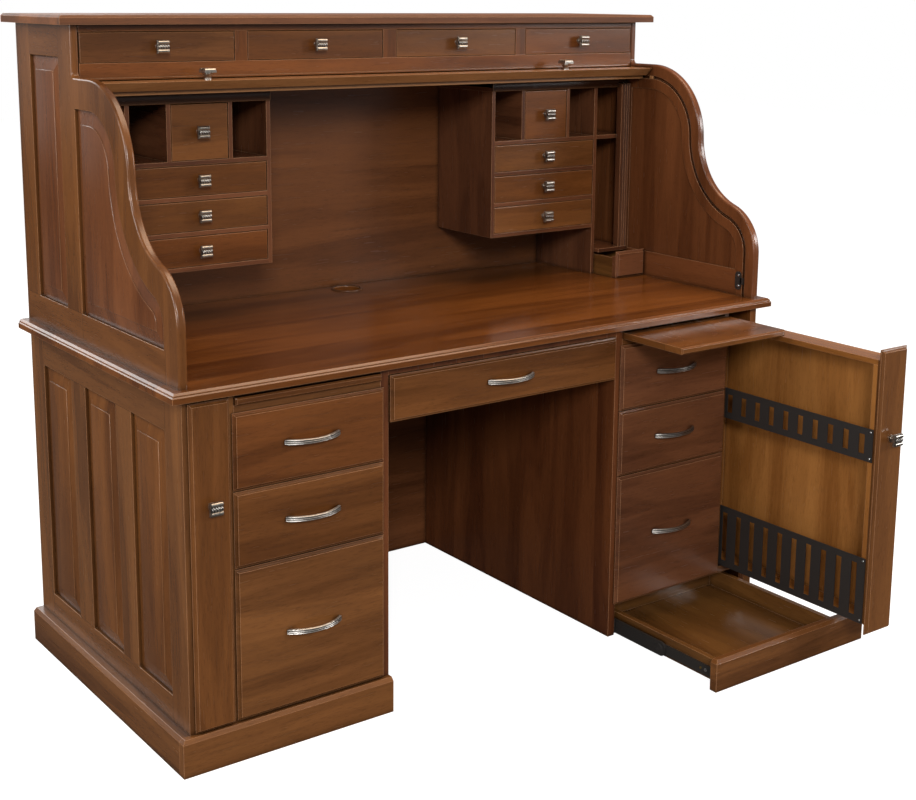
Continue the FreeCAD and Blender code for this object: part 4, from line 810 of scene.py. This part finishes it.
def strap_section(shape, height):
    """The ridged section of a pull, in its own plane: x outward, y up."""
    hollow = shape.verts.layers.float.new("hollow")
    ring = bmesh.ops.create_circle(shape, segments=PULL_SIDES, radius=1.0)["verts"]
    for vert in ring:
        outward, level = vert.co.x, vert.co.y
        ridge = (1 + math.cos(PULL_RIDGES * math.pi * level)) / 2
        if outward > 0:
            vert[hollow] = (1 - ridge) * (1 - level ** RIM_POWER)
            x = PULL_THICK * outward ** SQUARE_POWER - PULL_RIDGE * (1 - ridge)
        else:
            x = -PULL_BACK * (-outward) ** SQUARE_POWER
        vert.co = Vector((x, level * height / 2, 0.0))
    return shape.edges[:]


print(PULL_RIDGES, "ridges on a pull")

# %% [markdown]
# ## Bow pulls
# The strap bows out from the drawer, lower at its waist and drawn in at its soft ends. A straight strap could
# be bent by a modifier, but the CAD pull already gives the bow's width and rise. So the arc's radius is
# worked out from those, and the section is swept along the arc with its own height at each step.

# %% Bow pulls
PULL_STEPS = 26
PULL_END, PULL_WAIST = 0.78, 0.84
PULL_CLEAR, PULL_REACH = 0.2 * MM, 0.985


def bow_pull(name, body):
    """A ridged pull on the bow of the CAD pull, lower at the waist and drawn in at both ends."""
    low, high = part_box(name)
    half, rise, height = (high[0] - low[0]) / 2, high[1] - low[1], high[2] - low[2]
    reach = rise - (PULL_THICK + PULL_CLEAR)
    radius = (half * half + reach * reach) / (2 * reach)
    spread = math.asin(half / radius) * PULL_REACH
    centre = Vector(((low[0] + high[0]) / 2, high[1] - reach + radius, (low[2] + high[2]) / 2))
    shape = bmesh.new()
    loop = strap_section(shape, height)
    places = []
    for k in range(PULL_STEPS + 1):
        share = 2 * k / PULL_STEPS - 1
        angle = spread * share
        tall = 1 - (1 - PULL_WAIST) * math.cos(share * math.pi / 2) ** 2
        if k in (0, PULL_STEPS):
            tall *= PULL_END
        out = Vector((math.sin(angle), -math.cos(angle), 0))
        along = Vector((math.cos(angle), math.sin(angle), 0))
        turned = Matrix((out, Vector((0, 0, 1)), along)).transposed().to_4x4()
        places.append(Matrix.Translation(centre + out * radius) @ turned @ Matrix.Diagonal((1, tall, 1, 1)))
    sweep(shape, loop, places)
    return make_piece(f"{name}_bow", shape, nickel, body, [name])


pulls = [bow_pull("centre_pull", "centre_drawer")]
for side in SIDES:
    pulls += [bow_pull(f"{side}_pull_{i}", f"{side}_drawer_{i}") for i in (1, 2, 3)]
print(len(pulls), "bow pulls,", sum(len(p.data.polygons) for p in pulls), "faces")

# %% [markdown]
# ## A twisted bar
# The CAD knobs have their foot, neck, plate and three rolls. The middle roll is cast as a twisted bar. Three
# thin coils could be wound round each other, but at this size they would only cost faces. So one three-lobed
# loop is swept along the bar and turned as it goes.

# %% A twisted bar
TWIST_LENGTH, TWIST_LOBES, TWIST_TURNS = 24 * MM, 3, 1.4
TWIST_RADIUS, TWIST_DEPTH = 5.05 * MM, 0.45 * MM
TWIST_SIDES, TWIST_STEPS = 24, 26


def twisted_bar(shape, centre):
    """A three-strand bar along x, round a centre."""
    hollow = shape.verts.layers.float.get("hollow") or shape.verts.layers.float.new("hollow")
    ring = bmesh.ops.create_circle(shape, segments=TWIST_SIDES, radius=1.0)["verts"]
    for vert in ring:
        lobe = math.cos(TWIST_LOBES * math.atan2(vert.co.y, vert.co.x))
        vert[hollow] = (1 - lobe) / 2
        vert.co = vert.co * (TWIST_RADIUS + TWIST_DEPTH * lobe)
    loop = once(e for v in ring for e in v.link_edges)
    upright = Matrix.Rotation(math.pi / 2, 4, "Y")
    places = []
    for k in range(TWIST_STEPS + 1):
        share = k / TWIST_STEPS
        step = Matrix.Translation(Vector(centre) + Vector(((share - 0.5) * TWIST_LENGTH, 0, 0)))
        places.append(step @ upright @ Matrix.Rotation(2 * math.pi * TWIST_TURNS * share, 4, "Z"))
    sweep(shape, loop, places)


print("a twist turns", TWIST_TURNS, "times in", round(TWIST_LENGTH / MM), "mm")

# %% [markdown]
# ## Twisted bars on the knobs
# Every small drawer and both media fronts have a knob that points forward, and the two on the lift rail point
# up. The places of the bars could be typed, but they are measured instead: the points of a node that stand
# out in front of its face are its knob, so a bar follows wherever the CAD puts it.

# %% Twisted bars on the knobs
TWIST_OUT, KNOB_MARGIN, RAIL_HEAD_HALF = 18.5 * MM, 1 * MM, 13.5 * MM


def knob_head(name):
    """The box of a node's knob: the points that stand out in front of its face."""
    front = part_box(name)[0][1]
    spots = [v.co for v in nodes[name].data.vertices if v.co.y < front + KNOB_OUT - KNOB_MARGIN]
    return [Vector(end(p[k] for p in spots) for k in range(3)) for end in (min, max)]


twists = []
for name in KNOBBED:
    low, high = knob_head(name)
    shape = bmesh.new()
    twisted_bar(shape, ((low.x + high.x) / 2, low.y + KNOB_OUT - TWIST_OUT, (low.z + high.z) / 2))
    twists.append(make_piece(f"{name}_knob_twist", shape, nickel, name))
low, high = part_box("rail_knobs")
rail_z = low[2]
rail_spots = [(x, (low[1] + high[1]) / 2) for x in (low[0] + RAIL_HEAD_HALF, high[0] - RAIL_HEAD_HALF)]
shape = bmesh.new()
for x, y in rail_spots:
    twisted_bar(shape, (x, y, rail_z + TWIST_OUT))
twists.append(make_piece("rail_knob_twists", shape, pewter, "lift"))
print(len(twists), "pieces with twisted bars")

# %% [markdown]
# ## Necks of the rail knobs
# Seen from the side, a rail knob's neck is a stout turned cup that opens towards its plate. Stacked cones
# could stand for it, but a turned form is made as on a lathe: its section is a line of points, spun about
# the knob's axis round the CAD neck.

# %% Necks of the rail knobs
# (radius, height above the rail) in millimetres
CUP = ((0, 1.5), (7.5, 1.5), (8.2, 2.6), (6.8, 4.2), (7.6, 7.5), (10.5, 11.0), (11.2, 12.0), (0, 12.0))
CUP_STEPS = 32
shape = bmesh.new()
for x, y in rail_spots:
    section = [shape.verts.new((x + radius * MM, y, rail_z + rise * MM)) for radius, rise in CUP]
    edges = [shape.edges.new(pair) for pair in zip(section, section[1:])]
    bmesh.ops.spin(shape, geom=section + edges, cent=(x, y, rail_z), axis=(0, 0, 1), dvec=(0, 0, 0),
                   angle=2 * math.pi, steps=CUP_STEPS, use_merge=True, use_duplicate=False)
make_piece("rail_knob_cups", shape, pewter, "lift")
print(len(rail_spots), "rail knob necks")

# %% [markdown]
# ## Screw head
# A screw head is a low cone with a pressed recess. A disc could stand for it from afar, but the recess and
# the slope of the rim catch the light. The head is modelled once, as a cone whose top is inset and sunk,
# lying on a face that looks along an axis, and it is added to whatever mesh it belongs to.

# %% Screw head
HEAD_SIDES, HEAD_TAPER = 20, 0.72
RECESS_INSET, RECESS_DRAFT, RECESS_DEPTH = 0.3, 0.06, 0.45


def screw_head(shape, place, facing, radius, height):
    """A pan head on a face that looks along facing, with a sunk recess."""
    facing = Vector(facing)
    turned = facing.to_track_quat("Z", "Y").to_matrix().to_4x4()
    spot = Matrix.Translation(Vector(place) + facing * (height / 2)) @ turned
    made = bmesh.ops.create_cone(shape, cap_ends=True, segments=HEAD_SIDES, radius1=radius,
                                 radius2=radius * HEAD_TAPER, depth=height, matrix=spot)["verts"]
    faces = once(f for v in made for f in v.link_faces)
    top = max(faces, key=lambda f: f.calc_center_median().dot(facing))
    bmesh.ops.inset_region(shape, faces=[top], thickness=radius * RECESS_INSET, depth=0.0)
    bmesh.ops.inset_region(shape, faces=[top], thickness=radius * RECESS_DRAFT, depth=-height * RECESS_DEPTH)


print("screw heads have", HEAD_SIDES, "sides")

# %% [markdown]
# ## Screws of the pockets
# The steel pockets of the media trays are held by a screw at each corner. Two pockets share one CAD node, and
# the widest gap between the heights of its points tells where the lower one ends and the upper one starts.
# Those heights could be typed, but measured ones follow the CAD.

# %% Screws of the pockets
POCKET_INSET, POCKET_SCREW, POCKET_HEAD = 7 * MM, 2.6 * MM, 0.9 * MM
screws = []
for side, sign in SIDES.items():
    low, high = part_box(f"media_pockets_{side}")
    face_x = low[0] if sign > 0 else high[0]
    heights = sorted({round(v.co.z, 4) for v in nodes[f"media_pockets_{side}"].data.vertices})
    gap = max(range(len(heights) - 1), key=lambda i: heights[i + 1] - heights[i])
    rows = [low[2], heights[gap], heights[gap + 1], high[2]]
    shape = bmesh.new()
    for row, inward in zip(rows, (1, -1, 1, -1)):
        for y in (low[1] + POCKET_INSET, high[1] - POCKET_INSET):
            spot = (face_x, y, row + inward * POCKET_INSET)
            screw_head(shape, spot, (-sign, 0, 0), POCKET_SCREW, POCKET_HEAD)
    screws.append(make_piece(f"media_pocket_screws_{side}", shape, zinc, f"media_{side}"))
print(len(screws), "sets of pocket screws, rows at", [round(r, 3) for r in rows])

# %% [markdown]
# ## Catch plates
# A small black plate at the foot of each track takes the cover's lock. The real one has round ends, a bolt
# nub towards the front and a bright screw at each end. Its outline could be a filled curve, but a block with
# its corner edges bevelled round has the plate's thickness at once, and it stands in for the CAD one.

# %% Catch plates
PLATE_THICK, PLATE_ROUND, PLATE_STEPS = 1.5 * MM, 9.4 * MM, 6
BOLT_REACH, BOLT_LONG, BOLT_TALL = 8 * MM, 12 * MM, 16 * MM
BOLT_ROUND, BOLT_STEPS = 3 * MM, 4
PLATE_SCREW, PLATE_HEAD = 3.4 * MM, 0.9 * MM
catch_low, catch_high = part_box("catch_plates")
plate_x = (catch_high[0] - PLATE_THICK, catch_high[0])
plate_front = catch_low[1] + BOLT_REACH
plate_y, plate_z = (plate_front + catch_high[1]) / 2, (catch_low[2] + catch_high[2]) / 2
shape = bmesh.new()
for x0, x1 in (plate_x, (-plate_x[1], -plate_x[0])):
    plate = block(shape, (x0, plate_front, catch_low[2]), (x1, catch_high[1], catch_high[2]))
    round_edges(shape, edges_along(plate, 0), PLATE_ROUND, PLATE_STEPS)
    bolt = block(shape, (x0, catch_low[1], plate_z - BOLT_TALL / 2),
                 (x1, catch_low[1] + BOLT_LONG, plate_z + BOLT_TALL / 2))
    round_edges(shape, edges_along(bolt, 0), BOLT_ROUND, BOLT_STEPS)
make_piece("catch_plate_pair", shape, black, "case", ["catch_plates"])
shape = bmesh.new()
for z in (catch_low[2] + PLATE_ROUND, catch_high[2] - PLATE_ROUND):
    screw_head(shape, (plate_x[0], plate_y, z), (-1, 0, 0), PLATE_SCREW, PLATE_HEAD)
    screw_head(shape, (-plate_x[0], plate_y, z), (1, 0, 0), PLATE_SCREW, PLATE_HEAD)
make_piece("catch_plate_screws", shape, zinc, "case")
print("catch plates with four screws")

# %% [markdown]
# ## Channels of the plinth drawer's slides
# The middle members of the slides show when the drawer is open: pressed channels with a round front end, a
# disc and a release lever. A section could be swept along the slide, but its round end would have to be
# closed by hand. Here a block's front edges are bevelled round and its outer face is inset and sunk, which
# leaves the channel's rim, and the disc and lever lie in it.

# %% Channels of the plinth drawer's slides
MEMBER_THICK, END_ROUND, END_STEPS, END_MARGIN = 4 * MM, 14 * MM, 8, 1 * MM
CHANNEL_RIM, CHANNEL_SINK, CHANNEL_DRAFT, FLUSH = 3.0 * MM, 1.4 * MM, 0.6 * MM, 0.001 * MM
DISC_RADIUS, DISC_BACK, DISC_RISE = 11 * MM, 20.5 * MM, 0.9
LEVER_BACK, LEVER_BELOW, LEVER_ABOVE, LEVER_RISE = 43 * MM, 4 * MM, 2 * MM, 0.7
LEVER_ROUND, LEVER_STEPS = 1.9 * MM, 3
middle_low, middle_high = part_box("base_slide_middle")
middle_z = (middle_low[2] + middle_high[2]) / 2
disc_y = middle_low[1] + DISC_BACK
shape = bmesh.new()
for x0, facing in ((middle_low[0], -1), (middle_high[0] - MEMBER_THICK, 1)):
    verts = block(shape, (x0, middle_low[1], middle_low[2]),
                  (x0 + MEMBER_THICK, middle_high[1], middle_high[2]))
    ends = [e for e in edges_along(verts, 0) if e.verts[0].co.y < middle_low[1] + END_MARGIN]
    round_edges(shape, ends, END_ROUND, END_STEPS)
    outer_x = x0 if facing < 0 else x0 + MEMBER_THICK
    outer = [f for f in shape.faces if all(abs(v.co.x - outer_x) < FLUSH for v in f.verts)]
    bmesh.ops.inset_region(shape, faces=outer, thickness=CHANNEL_RIM, depth=0.0)
    bmesh.ops.inset_region(shape, faces=outer, thickness=CHANNEL_DRAFT, depth=-CHANNEL_SINK)
    floor_x = outer_x - facing * CHANNEL_SINK
    screw_head(shape, (floor_x, disc_y, middle_z), (facing, 0, 0), DISC_RADIUS, CHANNEL_SINK * DISC_RISE)
    lever_x = sorted((floor_x, floor_x + facing * CHANNEL_SINK * LEVER_RISE))
    lever = block(shape, (lever_x[0], disc_y, middle_z - LEVER_BELOW),
                  (lever_x[1], middle_low[1] + LEVER_BACK, middle_z + LEVER_ABOVE))
    round_edges(shape, edges_along(lever, 0), LEVER_ROUND, LEVER_STEPS)
make_piece("base_slide_channels", shape, black, "base_slide", ["base_slide_middle"])
print("channels sunk by", CHANNEL_SINK / MM, "mm")

# %% [markdown]
# ## Screws and rivets of the slides
# The inner members are screwed to the drawer, and a bright screw and a brass rivet show near the front of
# each. They could be part of the channels, but they travel with the drawer, so they are pieces of its body.

# %% Screws and rivets of the slides
# name: (distance behind the drawer's front, radius, metal)
FASTENERS = {"screws": (63.5 * MM, 4.2 * MM, zinc), "rivets": (78.5 * MM, 3.2 * MM, brass)}
INNER_FACE, FASTENER_RISE = 337.0 * MM, 0.42 * MM
base_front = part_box("base_drawer")[0][1]
for name, (back, radius, metal) in FASTENERS.items():
    shape = bmesh.new()
    for x, facing in ((INNER_FACE, -1), (middle_low[0] + middle_high[0] - INNER_FACE, 1)):
        screw_head(shape, (x, base_front + back, middle_z), (facing, 0, 0), radius, FASTENER_RISE)
    make_piece(f"base_slide_{name}", shape, metal, "base_drawer")
print("two screws and two rivets on the plinth drawer's slides")

# %% [markdown]
# ## Cord grommet
# The rim of the cord hole is a turned wooden ring with a rounded top. A torus could be flattened to it, but
# the ring's foot is square in its hole, so a section with a round top and a flat foot is spun about the
# hole's axis. It stands in for the CAD ring.

# %% Cord grommet
RING_WALL, RING_STEPS = 7 * MM, 64
# (share of the wall, share of the height)
RING_SECTION = ((0, 0), (0.02, 0.45), (0.18, 0.85), (0.5, 1), (0.82, 0.85), (0.98, 0.45), (1, 0))
ring_low, ring_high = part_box("cord_grommet")
ring_centre = Vector(((ring_low[0] + ring_high[0]) / 2, (ring_low[1] + ring_high[1]) / 2, 0))
ring_outer = (ring_high[0] - ring_low[0]) / 2
shape = bmesh.new()
section = []
for across, rise in RING_SECTION:
    spot = ring_centre + Vector((ring_outer - RING_WALL * across, 0, 0))
    spot.z = ring_low[2] + rise * (ring_high[2] - ring_low[2])
    section.append(shape.verts.new(spot))
edges = [shape.edges.new(pair) for pair in zip(section, section[1:] + section[:1])]
bmesh.ops.spin(shape, geom=section + edges, cent=ring_centre, axis=(0, 0, 1), dvec=(0, 0, 0),
               angle=2 * math.pi, steps=RING_STEPS, use_merge=True, use_duplicate=False)
make_piece("cord_grommet_ring", shape, named_walnuts["cord_grommet"], "case", ["cord_grommet"])
print("grommet ring", round(ring_outer / MM), "mm in radius")

# %% [markdown]
# ## A nested slat
# The cover is made of narrow wooden slats with rounded fronts. When the lift rail swings down they come out
# behind it, and at rest they lie nested inside the rail, all in one place. A section could be extruded along
# the desk for each, but a block with two edges rounded is the same shape in fewer steps. It is made at the
# origin and then turned to its place on the rail's arc.

# %% A nested slat
SWING_DEGREES, SLAT_PITCH = 80.0, 12.5 * MM
SLAT_HALF, SLAT_WIDE, SLAT_THICK = 750 * MM, 11 * MM, 6 * MM
SLAT_EASE, SLAT_STEPS = 2.4 * MM, 3
HINGE = Vector((0.0, -379.5 * MM, 1132 * MM))
NEST_ANGLE, NEST_RADIUS = math.radians(15.5), 152.5 * MM


def nested_slat(shape, angle, radius):
    """A slat on the arc, angle behind its top."""
    half = Vector((SLAT_HALF, SLAT_WIDE / 2, SLAT_THICK / 2))
    verts = block(shape, -half, half)
    fronts = [e for e in edges_along(verts, 0) if e.verts[0].co.z < 0]
    round_edges(shape, fronts, SLAT_EASE, SLAT_STEPS)
    place = Matrix.Translation(HINGE) @ Matrix.Rotation(-angle, 4, "X") @ Matrix.Translation((0, 0, radius))
    bmesh.ops.transform(shape, matrix=place, verts=shape.verts[:])


slat_count = round(math.radians(SWING_DEGREES) * NEST_RADIUS / SLAT_PITCH)
print(slat_count, "slats fill the swing")

# %% [markdown]
# ## Slats nested on the rail's arc
# Each slat is made in the nested place on the rail's arc and baked into its mesh, with no body of its own.
# One more slat stays in the case, behind the rail, turned a little further round the hinge and a little
# further out.

# %% Slats nested on the rail's arc
BEHIND_TURN, BEHIND_RISE = 1.38, 1.04
for number in range(slat_count):
    shape = bmesh.new()
    nested_slat(shape, NEST_ANGLE, NEST_RADIUS)
    slat = make_piece(f"tambour_slat_out_{number + 1}", shape, named_walnuts["tambour_slats"], None)
    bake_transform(slat)
shape = bmesh.new()
nested_slat(shape, NEST_ANGLE * BEHIND_TURN, NEST_RADIUS * BEHIND_RISE)
make_piece("tambour_slat_behind", shape, named_walnuts["tambour_slats"], "case")
print(slat_count, "slats follow the rail over", SWING_DEGREES, "degrees")
